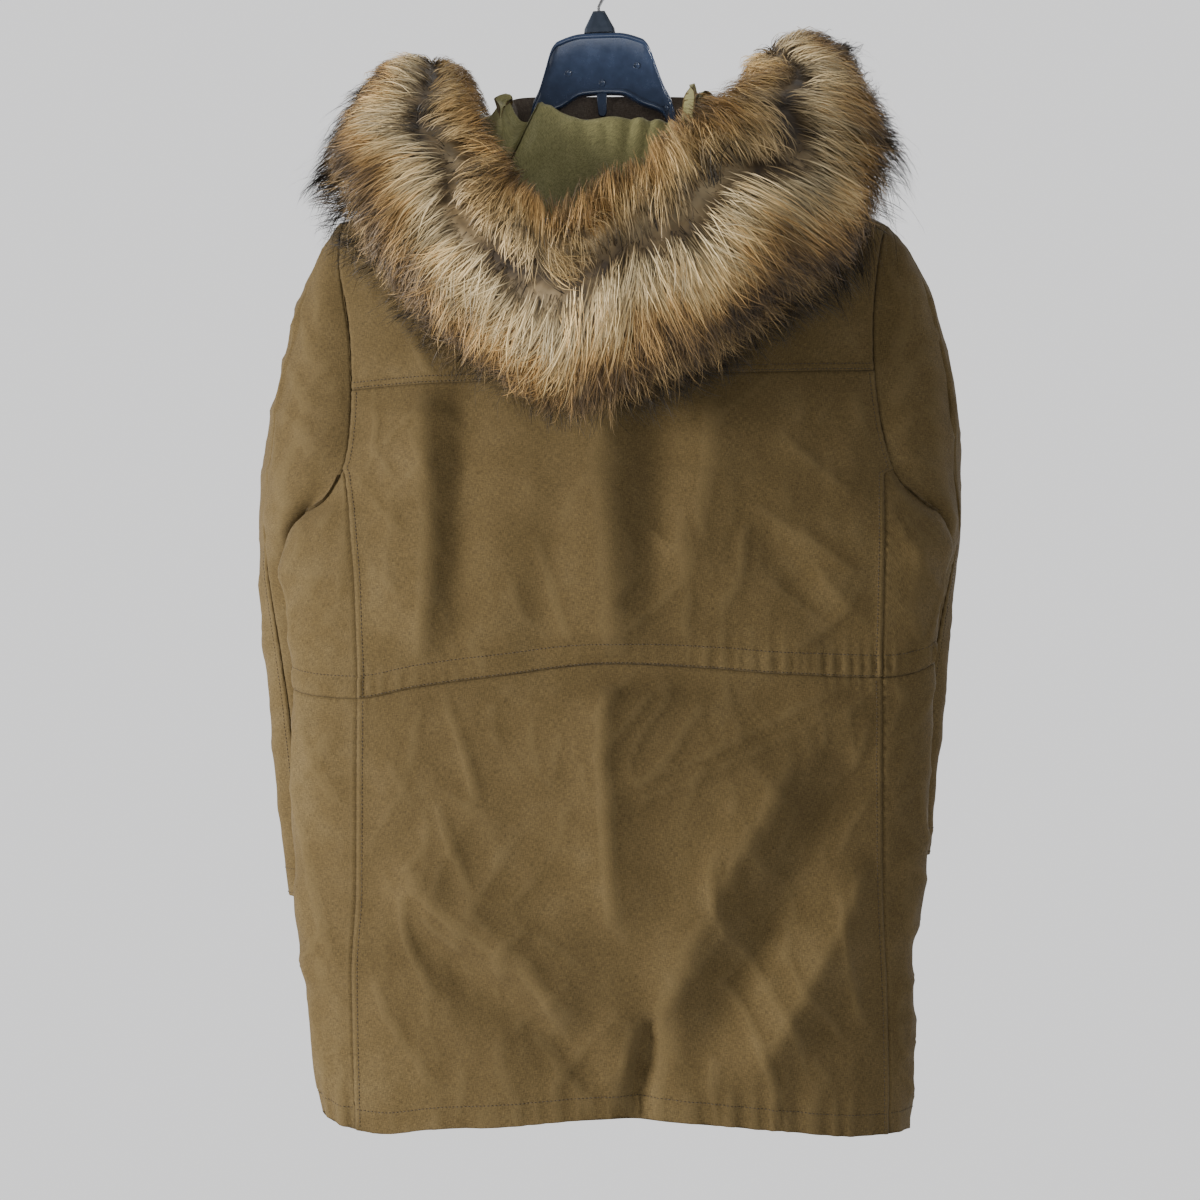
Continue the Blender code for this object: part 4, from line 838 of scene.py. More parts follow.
# heights and widths of a seam's dip, of its puckers, of a welt's layers and of a cased band
SEAM_DIP, SEAM_DIP_HALF = 0.0011, 0.0013
PUCKER, PUCKER_PITCH, PUCKER_REACH = 0.00045, 0.0105, 0.013
WELT_LAYERS, WELT_WIDTH, WELT_RAMP = 0.0008, 0.0085, 0.0025
WELT_PUCKER = 1.3          # its puckers for a plain seam's
WELT_STITCH = 0.0060       # its stitch line from the border, and how that is drawn in
STITCH_DIP, STITCH_DIP_HALF = 0.0005, 0.0011
BAND_SWELLING, BAND_DIP, BAND_DIP_HALF, BAND_REACH = 0.0012, 0.0010, 0.0014, 0.016
BAND_EDGE = 0.45           # share of a band's gathers that runs on at its borders


def seam_relief(run, away, kind, seed):
    """Height beside a border: a seam dips and puckers, a welt also carries stitched layers."""
    if kind == "open":
        return np.zeros(run.shape)
    pucker = PUCKER * gathers(run, PUCKER_PITCH, seed, SEAM_DRIFT, SEAM_SWELL)
    pucker *= np.exp(-(away / PUCKER_REACH) ** 1.5)
    dip = -SEAM_DIP * bell(away, SEAM_DIP_HALF)
    if kind == "seam":
        return dip + pucker
    layers = WELT_LAYERS * np.clip((WELT_WIDTH - away) / WELT_RAMP, 0.0, 1.0)
    stitched = -STITCH_DIP * bell(away - WELT_STITCH, STITCH_DIP_HALF)
    return dip + layers + stitched + WELT_PUCKER * pucker


def band_relief(run, away, width, pitch, depth, seed):
    """A cased band along a border: it swells between its stitch lines and is gathered."""
    inside = np.clip(1 - np.abs(away - width / 2) / (width / 2), 0.0, 1.0)
    swell = np.sqrt(inside) * BAND_SWELLING
    dip = -BAND_DIP * bell(away - width, BAND_DIP_HALF)
    gathered = depth * gathers(run, pitch, seed, BAND_DRIFT, BAND_SWELL)
    beyond = np.exp(-np.clip(away - width, 0.0, 1.0) / BAND_REACH)
    return swell + dip + gathered * mix(BAND_EDGE, 1.0, inside) * beyond


BORDERS = ("top", "bottom", "left", "right")
# lumps of the padded cloth: height, size, stretch in height, and step of the seed
LUMPS = ((0.0016, 0.090, 1.7, 0), (0.0007, 0.034, 1.5, 5), (0.00022, 0.012, 1.0, 9))
HELD = 0.12                # share of its height that cloth keeps beside a seam
SEED_STEP = 3.3            # from border to border


class Cloth:
    """A grid of cloth: its points, its outward normals and the distances to its four borders."""

    def __init__(self, name, base, sign, kinds, table=(), seed=1, band=None, soft=1.0, free=0.030):
        self.name = name
        self.side = grid_normals(base, sign)
        across, down = along(base, 1), along(base, 0)
        self.away = dict(zip(BORDERS, (down, down[-1:] - down, across, across[:, -1:] - across)))
        self.run = dict(zip(BORDERS, (across, across, down, down)))
        kinds = dict(zip(BORDERS, kinds.split()))
        sewn = [self.away[where] for where in BORDERS if kinds[where] != "open"]
        height = sum(soft * tall * bumps(base, size, seed + step, stretch)
                     for tall, size, stretch, step in LUMPS)
        height += soft * wrinkles(base, seed) + creases(base, table)
        if sewn:
            height *= np.clip(np.minimum.reduce(sewn) / free, HELD, 1.0)
        for n, (where, kind) in enumerate(kinds.items()):
            height += seam_relief(self.run[where], self.away[where], kind, seed + SEED_STEP * n)
        if band:
            where, width, pitch, depth = band
            height += band_relief(self.run[where], self.away[where], width, pitch, depth, seed)
        self.height = height
        self.outer = base + self.side * height[..., None]
        self.normal = grid_normals(self.outer, sign)
        self.uv = np.stack((across, -down), axis=2)

    def line(self, where, off):
        """Points and normals at a distance in from a border."""
        ways = self.away[where], self.outer, self.normal
        if where in ("top", "bottom"):
            ways = [np.swapaxes(values, 0, 1) for values in ways]
        points, normals = [], []
        for away, spots, norms in zip(*ways):
            order = np.argsort(away)
            points.append(read_at(off, away[order], spots[order]))
            normals.append(read_at(off, away[order], norms[order]))
        return np.array(points), unit(np.array(normals))


# ---------------------------------------------------------------- meshes
def link(name, mesh, material, replaced=()):
    thing = bpy.data.objects.new(name, mesh)
    bpy.context.scene.collection.objects.link(thing)
    mesh.materials.append(material)
    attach(thing, "root")
    if replaced:
        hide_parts(*replaced)
    return thing


def mesh_of(name, vertices, faces, smooth_shade=True):
    mesh = bpy.data.meshes.new(name)
    mesh.from_pydata([tuple(v) for v in np.asarray(vertices)], [], [tuple(f) for f in faces])
    mesh.update()
    mesh.polygons.foreach_set("use_smooth", [smooth_shade] * len(mesh.polygons))
    return mesh


def reshape(mesh, change):
    """Change a whole mesh by a function of its bmesh."""
    shape = bmesh.new()
    shape.from_mesh(mesh)
    change(shape)
    shape.to_mesh(mesh)
    shape.free()


def face_out(shape):
    bmesh.ops.recalc_face_normals(shape, faces=shape.faces)


def tube_faces(rings, size, capped=True):
    """Faces between rings of points, each of the same size, and over both ends."""
    faces = []
    for low in range(0, (rings - 1) * size, size):
        for k in range(size):
            nxt = (k + 1) % size
            faces.append((low + k, low + nxt, low + size + nxt, low + size + k))
    if capped:
        faces.append(tuple(range(size))[::-1])
        faces.append(tuple(range((rings - 1) * size, rings * size)))
    return faces


def add_value(mesh, name, values):
    layer = mesh.attributes.new(name, "FLOAT", "POINT")
    layer.data.foreach_set("value", np.asarray(values, dtype=np.float32).ravel())


CLOTH_SHARP = math.radians(60)
CURVE_SPAN = 2             # points to each side that a crest is compared with
MILLIMETRES = 1000


def walled_mesh(cloth, wall):
    """Closed wall of cloth: its outer grid, an inner one and a rim, with values for its material."""
    outer, inner = cloth.outer, cloth.outer - cloth.side * wall
    rows, columns = outer.shape[:2]
    index = np.arange(rows * columns).reshape(rows, columns)
    corners = index[:-1, :-1], index[1:, :-1], index[1:, 1:], index[:-1, 1:]
    quads = np.stack(corners, axis=2).reshape(-1, 4)
    shift = rows * columns
    loop = list(index[:, 0]) + list(index[-1, 1:]) + list(index[-2::-1, -1]) + list(index[0, -2:0:-1])
    rim = [(p, shift + p, shift + q, q) for p, q in zip(loop, loop[1:] + loop[:1])]
    faces = np.concatenate((quads, shift + quads[:, ::-1], np.array(rim)))
    mesh = mesh_of(cloth.name, np.concatenate((outer.reshape(-1, 3), inner.reshape(-1, 3))), faces)

    def turn_out(shape):
        if shape.calc_volume(signed=True) < 0:
            bmesh.ops.reverse_faces(shape, faces=shape.faces)

    reshape(mesh, turn_out)
    mesh.set_sharp_from_angle(angle=CLOTH_SHARP)
    layer = mesh.uv_layers.new(name="cut")
    corner = np.zeros(len(mesh.loops), dtype=np.int32)
    mesh.loops.foreach_get("vertex_index", corner)
    flat = cloth.uv.reshape(-1, 2)
    layer.data.foreach_set("uv", np.concatenate((flat, flat))[corner].ravel())
    # crest height, which the material paints paler: partly wear, partly a painted highlight
    beside = np.roll(cloth.height, CURVE_SPAN, 1) + np.roll(cloth.height, -CURVE_SPAN, 1)
    crest = cloth.height - 0.5 * beside
    crest[:, :CURVE_SPAN] = 0
    crest[:, -CURVE_SPAN:] = 0
    add_value(mesh, "crest", np.concatenate((crest.ravel(), crest.ravel() * 0)) * MILLIMETRES)
    # distance to the borders, which the material darkens as painted shade along the seams
    edge = np.minimum.reduce(list(cloth.away.values())).ravel()
    add_value(mesh, "edge", np.concatenate((edge, edge)) * MILLIMETRES)
    return mesh


LEAST_FILL = 0.35          # share of width times length that the narrowest pieces fill


def declare(cloth):
    """Work out how wide and long the piece runs without its creases, and its flat area; none of it is kept.
    """
    base = cloth.outer - cloth.side * cloth.height[..., None]
    across, down = along(base, 1), along(base, 0)
    length = float(down[-1].max())
    first, second = base[1:, 1:] - base[:-1, :-1], base[1:, :-1] - base[:-1, 1:]
    area = float(np.linalg.norm(np.cross(first, second), axis=2).sum() / 2)
    width = min(float(across[:, -1].max()), area / (LEAST_FILL * length))
    area = min(area, width * length)


def lay(cloth, material, wall=CLOTH):
    """Lay a piece of cloth in the place of its plain solid."""
    solid = cloth.name.removesuffix("_cloth")
    thing = link(cloth.name, walled_mesh(cloth, wall), material, [solid])
    declare(cloth)


# ---------------------------------------------------------------- stitches
STITCH_PITCH = 0.0036
STITCH_LENGTH = 0.0026
STITCH_HALF = 0.00038
STITCH_CLEAR = 0.004       # between a line's ends and the piece's corners
STITCH_RISE = (-0.6, 1.0, -0.6)      # height of its start, middle and end, in its half thickness
STITCH_FLAT = 0.9          # its height for its width
stitch_spots = []


def stitch(line):
    """Plan stitches along a line of points and normals."""
    points, normals = line
    run = run_along(points)
    for at in np.arange(STITCH_CLEAR, run[-1] - STITCH_CLEAR, STITCH_PITCH):
        ends = [read_at(at + shift, run, points) for shift in (-STITCH_LENGTH / 2, 0.0, STITCH_LENGTH / 2)]
        stitch_spots.append((ends, unit(read_at(at, run, normals))))


def make_stitches(thread):
    """All planned stitches as one mesh of short arched threads."""
    vertices, faces = [], []
    thread_faces = tube_faces(len(STITCH_RISE), 4)
    for ends, up in stitch_spots:
        across = unit(np.cross(up, ends[-1] - ends[0])) * STITCH_HALF
        lift = up * STITCH_HALF
        faces += [tuple(len(vertices) + k for k in face) for face in thread_faces]
        for spot, rise in zip(ends, STITCH_RISE):
            centre = spot + lift * rise
            vertices += [centre - across, centre - lift * STITCH_FLAT,
                         centre + across, centre + lift * STITCH_FLAT]
    link("stitches", mesh_of("stitches", vertices, faces), thread)


def sew(name, grid, sign, kinds, table, seed, cotton, sewn, wall=CLOTH, **more):
    """Lay a piece of the shell and plan its stitch lines, each a border and a distance from it."""
    cloth = Cloth(f"{name}_cloth", grid, sign, kinds, table, seed, **more)
    lay(cloth, cotton, wall)
    for where, off in sewn:
        stitch(cloth.line(where, off))


# ---------------------------------------------------------------- body
# runs of cloth across and down the body, which set how many points they have
BACK_WIDTH = 0.50
FRONT_WIDTH = 0.27
SIDE_WIDTH = 0.13
SHOULDER_DROP = 0.075
YOKE_DROP = 0.155
CHEST_DROP = 0.085
WAIST_DROP = 0.190
SKIRT_DROP = 0.400
# stretches of rows: first, last and the drop between them
TO_WAIST = (0, WAIST_ROWS, WAIST_DROP)
SKIRT = (WAIST_ROWS, WAIST_ROWS + SKIRT_ROWS, SKIRT_DROP)
CASING = (WAIST_ROWS + SKIRT_ROWS, LOWER_ROWS, HEM_CASING)
FRONT_START = -1.0         # a front's first row, at the neck seam; the shoulder is at row 0
FLAP_START = -0.80

WAIST_CASING = 0.0205      # height of the waist's cased band
HEM_WALL = 0.0034
FRONT_WALL = 0.0030
# cased bands: border, width, pitch of the gathers and their depth
HEM_BAND = ("bottom", HEM_CASING, 0.0190, 0.0030)
WAIST_BAND = ("bottom", WAIST_CASING, 0.0120, 0.0014)
# stitch lines: border, and distance from it
EDGE_LINE = ("bottom", 0.0016)
YOKE_LINE = ("bottom", 0.0066)
WAIST_LINE = ("bottom", WAIST_CASING)
HEM_LINE = ("bottom", HEM_CASING)
LEFT_WELT = ("left", WELT_STITCH)
RIGHT_WELT = ("right", WELT_STITCH)


def make_back(cotton):
    shares = steps_between(BACK_WIDTH, BACK_STEP, (True, True))
    shoulder = steps_between(SHOULDER_DROP, BACK_STEP, (False, False))
    rows = [neck_row(s, [mix(-90, 90, u) for u in shares]) for s in shoulder]
    below = row_values([(0, YOKE_ROWS, YOKE_DROP)], BACK_STEP, (False, True))[1:]
    rows += [upper_row(row, shares) for row in below]
    sew("back_yoke", body_grid(rows), 1, "open welt seam seam", BACK_CREASES, 2, cotton,
        (EDGE_LINE, YOKE_LINE))

    chest = row_values([(YOKE_ROWS, ARM_ROWS, CHEST_DROP)], BACK_STEP, (True, False))
    waist = row_values([TO_WAIST], BACK_STEP, (False, True))[1:]
    rows = [upper_row(row, shares) for row in chest] + [lower_row(row, shares) for row in waist]
    sew("back_upper", body_grid(rows), 1, "seam seam welt welt", BACK_CREASES, 3, cotton,
        (WAIST_LINE, EDGE_LINE, LEFT_WELT, RIGHT_WELT), band=WAIST_BAND)

    rows = [lower_row(row, shares) for row in row_values([SKIRT, CASING], BACK_STEP, (True, True))]
    sew("back_lower", body_grid(rows), 1, "seam open welt welt", BACK_CREASES, 4, cotton,
        (HEM_LINE, LEFT_WELT, RIGHT_WELT), HEM_WALL, band=HEM_BAND)


def make_sides(cotton):
    shares = steps_between(SIDE_WIDTH, BACK_STEP, (True, True))
    for side in (LEFT, RIGHT):
        for name, marks, bottom, seed, band, line, wall in (
                ("upper", [TO_WAIST], "seam", 6, WAIST_BAND, WAIST_LINE, CLOTH),
                ("lower", [SKIRT, CASING], "open", 9, HEM_BAND, HEM_LINE, HEM_WALL)):
            rows = [side_row(side, row, shares) for row in row_values(marks, BACK_STEP, (True, True))]
            sew(f"side_{side_word(side)}_{name}", body_grid(rows), side, f"seam {bottom} seam seam",
                SIDE_CREASES, seed + side, cotton, (line,), wall, band=band)


def front_marks(start):
    """Stretches of a front's rows, from above the armholes down."""
    below = [(first + ARM_ROWS, last + ARM_ROWS, drop) for first, last, drop in (TO_WAIST, SKIRT, CASING)]
    return [(start, 0.0, SHOULDER_DROP), (0, ARM_ROWS, YOKE_DROP + CHEST_DROP), *below]


def make_fronts(cotton):
    shares = steps_between(FRONT_WIDTH, FRONT_STEP, (True, False))
    for side in (LEFT, RIGHT):
        rows = [front_row(side, row, shares)
                for row in row_values(front_marks(FRONT_START), FRONT_STEP, (False, True))]
        sew(f"front_{side_word(side)}", body_grid(rows), side, "open open welt open", FRONT_CREASES,
            12 + side, cotton, (HEM_LINE, LEFT_WELT), FRONT_WALL, band=HEM_BAND)


def make_storm_flap(cotton):
    shares = steps_between(2 * FLAP_HALF, FRONT_STEP, (True, True)) * 2 - 1
    grid = []
    for row in row_values(front_marks(FLAP_START)[:-1], FRONT_STEP, (True, True)):
        z = front_row(LEFT, row, (0.0, 1.0))[1][1]
        lean = math.degrees(math.asin(FLAP_HALF / section("right", z)))
        grid.append([(180 + lean * share, z) for share in shares])
    base = body_grid(grid)
    base += grid_normals(base, 1) * (FLAP_WALL + FLAP_RISE)
    sew("storm_flap", base, 1, "open open welt welt", FRONT_CREASES, 15, cotton,
        (LEFT_WELT, RIGHT_WELT), soft=0.4)


COLLAR_STEP = 0.0060
COLLAR_ROUND = 0.62        # run round the neck
COLLAR_ROWS = 15
COLLAR_CURVE = 1.6         # power by which it rises from the back to the front
COLLAR_WALL = 0.0028


def make_collar(facing):
    around = steps_between(COLLAR_ROUND, COLLAR_STEP, (False, False))
    angles = [mix(-180.0, 180.0, s) for s in around]
    grid = []
    for rise in np.linspace(0.0, 1.0, COLLAR_ROWS):
        row = []
        for angle in angles:
            foot, flat = neck_frame(angle)
            front = (1 - math.cos(math.radians(angle))) / 2
            height = mix(COLLAR_BACK, COLLAR_FRONT, front ** COLLAR_CURVE)
            spot = foot + np.array((0, 0, NECK_CLEAR + height * rise))
            row.append(spot - flat * (SEAM_GAP + COLLAR_LEAN * height * rise))
        grid.append(row)
    collar = Cloth("collar_cloth", np.array(grid), -1, "open open open open", (), 17, soft=0.8)
    lay(collar, facing, COLLAR_WALL)


# ---------------------------------------------------------------- sleeves
SLEEVE_ROUND = 0.26        # run round a sleeve
SLEEVE_WALL = 0.0026
CUFF_LINES = (("bottom", 0.0030), ("bottom", 0.0270))
EASE_TIMES = 26
EASE_HELD = 0.06           # share of the way round over which a sleeve's seams hold their rows


def sleeve_rows(side, shares):
    """The sleeve's rows from the shoulder to the cuff, at the places of its few planned ones."""
    back = [row_turn(side, row) for row in range(ARM_ROWS + 1)]
    half = SIDE_COLUMNS // 2
    turns = back + [mix(back[-1], 180.0, k / half) for k in range(1, half + 1)]
    grid = [[body(*armhole(side, cap_turn(turns[1], u))) for u in shares]]
    for turn in turns[2:]:
        back_point, front_point = body(*armhole(side, turn)), body(*armhole(side, 360.0 - turn))
        grid.append([sleeve_point(side, back_point[2], u, back_point, front_point) for u in shares])
        grid[-1][0], grid[-1][-1] = back_point, front_point
    pushed = RIGHT_SLEEVE_RISE if side == RIGHT else 0.0
    for drop in SLEEVE_ROWS:
        inner = sleeve_edge(side, "inner", ARMPIT_Z - drop)
        lift = np.array((0.0, 0.0, pushed * (drop / SLEEVE_ROWS[-1]) ** 2))
        grid.append([sleeve_point(side, ARMPIT_Z - drop, u, inner, inner) + lift for u in shares])
    return np.array(grid)


def refine_rows(grid, step):
    """More rows on a smooth curve through the planned ones, about a step apart."""
    run = run_along(grid[:, grid.shape[1] // 2])
    count = int(run[-1] / step)
    places = np.interp(np.linspace(0.0, run[-1], count + 1), run, np.arange(len(run)))
    return np.array([spline(list(grid), at) for at in places])


def eased_rows(grid, shares):
    """Row after row made even, free of bumps where planned rows lie close together."""
    held = np.clip(np.minimum(shares, 1 - shares) / EASE_HELD, 0.0, 1.0)[None, :, None]
    for _ in range(EASE_TIMES):
        even = 0.25 * grid[:-2] + 0.5 * grid[1:-1] + 0.25 * grid[2:]
        grid[1:-1] += (even - grid[1:-1]) * held
    return grid


def make_sleeves(cotton):
    cut = SLEEVE_CUT / SLEEVE_COLUMNS
    for side in (LEFT, RIGHT):
        for name, first, end, kinds, seed, more_lines in (
                ("under", 0.0, cut, "seam open seam seam", 20, ()),
                ("top", cut, 1.0, "seam open welt seam", 23, (LEFT_WELT,))):
            shares = mix(first, end, steps_between(SLEEVE_ROUND * (end - first), SLEEVE_STEP, (True, True)))
            grid = eased_rows(refine_rows(sleeve_rows(side, shares), SLEEVE_STEP), shares)
            sew(f"sleeve_{side_word(side)}_{name}", grid, side, kinds, SLEEVE_CREASES, seed + side, cotton,
                CUFF_LINES + more_lines, SLEEVE_WALL)


# ---------------------------------------------------------------- hood
HOOD_STRETCH = 0.030       # run of the hood's edge between two stations
HOOD_FREE = 0.008
HOOD_SHELL = 0.8           # share of its wall that the shell takes


def make_hood(cotton, satin):
    last = len(RUFFS) - 1
    for word, first, end in (("left", 0, HOOD_CUT_LEFT), ("centre", HOOD_CUT_LEFT, HOOD_CUT_RIGHT),
                             ("right", HOOD_CUT_RIGHT, last)):
        shares = steps_between(HOOD_STRETCH * (end - first), HOOD_STEP, (True, True))
        control = [hood_controls(mix(float(first), float(end), share)) for share in shares]
        grid = np.array([[rounded(points, at) for points in control]
                         for at in np.linspace(0.0, HOOD_CONTROLS, HOOD_ROWS + 1)])
        kinds = "open open seam seam"
        outer = Cloth(f"hood_{word}_cloth", grid, -1, kinds, HOOD_CREASES, 30, soft=0.5, free=HOOD_FREE)
        lay(outer, cotton, HOOD_WALL * HOOD_SHELL)
        under = outer.outer - outer.side * (HOOD_WALL + SEAM_GAP)
        inner = Cloth(f"hood_lining_{word}_cloth", under, -1, kinds, (), 30, soft=0.0, free=HOOD_FREE)
        lay(inner, satin, LINING_WALL)


# ---------------------------------------------------------------- fur
FUR_STATIONS = 220
PARTING = 285.0            # degrees round the ruff's section: 0 is its inner edge, 180 its outer one
OUTER_TURN = 105.0         # from the parting out to the outer edge
INNER_TURN = 75.0          # and in to the inner edge
# the pile lies flatter over the left shoulder: stations, and share of its depth there
FLAT_STATIONS = (0, 1.5, 4.0, 5.5)
FLAT_SHARES = (1.0, 0.72, 0.72, 1.0)


class Ruff:
    """The ruff's frames at even steps along it, read at any place."""

    def __init__(self):
        self.at = np.linspace(0.0, len(RUFFS) - 1.0, FUR_STATIONS)
        frames = zip(*[ruff_frame(at) for at in self.at])
        self.middle, self.inward, self.to_coat, self.half, self.deep = [np.array(values) for values in frames]
        self.deep *= np.interp(self.at, FLAT_STATIONS, FLAT_SHARES)
        self.run = run_along(self.middle)

    def read(self, values, run):
        """Values, or points, at a run along the ruff."""
        if values.ndim == 1:
            return np.interp(run, self.run, values)
        return np.stack([np.interp(run, self.run, values[:, k]) for k in range(3)], axis=-1)

    def point(self, run, turn, reach):
        """Points at a run along the ruff, a turn round its section and a share of its size."""
        turn = np.radians(turn)
        wide = self.read(self.half, run) * reach * np.cos(turn)
        deep = self.read(self.deep, run) * reach * np.sin(turn)
        return (self.read(self.middle, run) + self.read(self.inward, run) * wide[..., None]
                + self.read(self.to_coat, run) * deep[..., None])


# dark streaks of the pile, as (x, z) from end to end, and their half widths
STREAKS = (
    ((-0.196, -0.209), (-0.187, -0.254), (-0.165, -0.311), (-0.138, -0.351), (-0.112, -0.377)),
    ((0.228, -0.192), (0.224, -0.236), (0.175, -0.276), (0.153, -0.324), (0.127, -0.377)),
    ((-0.156, -0.178), (-0.136, -0.217), (-0.091, -0.266), (-0.068, -0.299), (-0.032, -0.317),
     (0.008, -0.317), (0.038, -0.298), (0.074, -0.267), (0.111, -0.240), (0.144, -0.205)),
)
STREAK_WIDTH = (0.013, 0.015, 0.009)
STREAK_DEPTH = 1.25
STREAK_FAR = 1.0


def streaked(x, z):
    """How dark a spot of the pile is, 0 to 1, beside the streaks."""
    dark = np.zeros(x.shape)
    ragged = 0.006 * np.sin(x / 0.011) + 0.005 * np.sin(z / 0.007 + x / 0.017)
    for path, width in zip(STREAKS, STREAK_WIDTH):
        nearest = np.full(x.shape, STREAK_FAR)
        for (x0, z0), (x1, z1) in zip(path[:-1], path[1:]):
            run_x, run_z = x1 - x0, z1 - z0
            at = np.clip(((x - x0) * run_x + (z - z0) * run_z) / (run_x ** 2 + run_z ** 2), 0.0, 1.0)
            nearest = np.minimum(nearest, np.hypot(x - x0 - at * run_x, z - z0 - at * run_z))
        dark = np.maximum(dark, bell(nearest + ragged, width))
    return dark


STRAND_POINTS = 6
SPREAD = {                 # how much strands differ, as the deviation of a normal draw
    "lock lean": 0.011, "lock lift": 0.045, "lock tone": 1.0, "tip run": 0.004, "tip place": 0.03,
    "run": 0.0060, "place": 0.055, "end run": 0.003, "end place": 0.05, "tip reach": 0.035,
    "bend": 0.0022, "twist": 0.45, "tone": 1.0,
}
LOCK_CROWD = 0.85          # locks crowd towards the edge
LOCK_SWAY, LOCK_WAVE = 0.012, 0.052
LOCK_LENGTHS = (0.75, 1.15)
GATHER = (0.15, 0.85)      # how far strands draw together towards their lock's tip
GATHER_RUN, GATHER_PLACE = 0.8, 0.7
RUN_CLEAR = 0.002          # strands stay this far from the ruff's ends
PLACE_CLEAR = (-0.04, 0.08)
OUTER_ARC, INNER_ARC, DEEP_ARC = 1.25, 0.75, 0.6     # share of half width and depth that the pile covers
FULL_ARC, LEAST_ARC = 0.13, 0.45     # strands are shorter where the ruff is narrower than this
STRAND_LENGTHS = (0.8, 1.1)
ROOT_REACH, ROOT_SPREAD = 0.70, 0.08     # share of the ruff's section at which strands start and end
TIP_REACH = 0.97
EDGE_PLACE = 0.93          # from here strands stand out past the ruff's edge instead of round it
EDGE_TURNED = 0.92
SHORT_STATION, SHORT_HALF, SHORT_SHARE = 10.2, 3.0, 0.60     # they stand out less at the ruff's lowest part
EDGE_SAG = 0.010
PARTING_SWAY = ((12.0, 0.047, 0.0), (8.0, 0.019, 1.0))       # degrees, length and start of each wave
STRAND_WIDTHS = (0.7, 1.25)
STRAND_TAPER = 0.86        # of its width, from root to tip
RUN_CURVE, REACH_CURVE, TAPER_CURVE = 1.3, 0.8, 1.6          # powers by which a strand leans, rises, thins
# colour value of a strand: at the parting's root, for its root's place, its points' places and its lock
BAND_START, ROOT_BAND, PLACE_BAND, LOCK_BAND = 0.04, 0.30, 0.58, 0.055
ROOT_MOST, PLACE_MOST = 1.1, 1.15
LOCK_TONE, OWN_TONE = 0.55, 0.45     # how much of a strand's tone is its lock's, and its own


def ribbon_mesh(name, left, right, tips):
    """Strands as ribbons between two sides, each closed by its tip."""
    count, pairs = left.shape[:2]
    sides = np.stack((left, right), axis=2).reshape(count, -1, 3)
    vertices = np.concatenate((sides, tips), axis=1)
    base = np.arange(count)[:, None] * (2 * pairs + 1)
    quads = [base + np.array([[k, k + 1, k + 3, k + 2]]) for k in range(0, 2 * pairs - 2, 2)]
    ends = base + 2 * pairs + np.array([[-2, -1, 0]])
    return mesh_of(name, vertices.reshape(-1, 3), [*np.concatenate(quads), *ends])


def ribbon_values(values):
    """A value for each vertex of a ribbon from one for each point of its strand."""
    paired = np.repeat(values[:, :-1], 2, axis=1)
    return np.concatenate((paired, values[:, -1:]), axis=1)


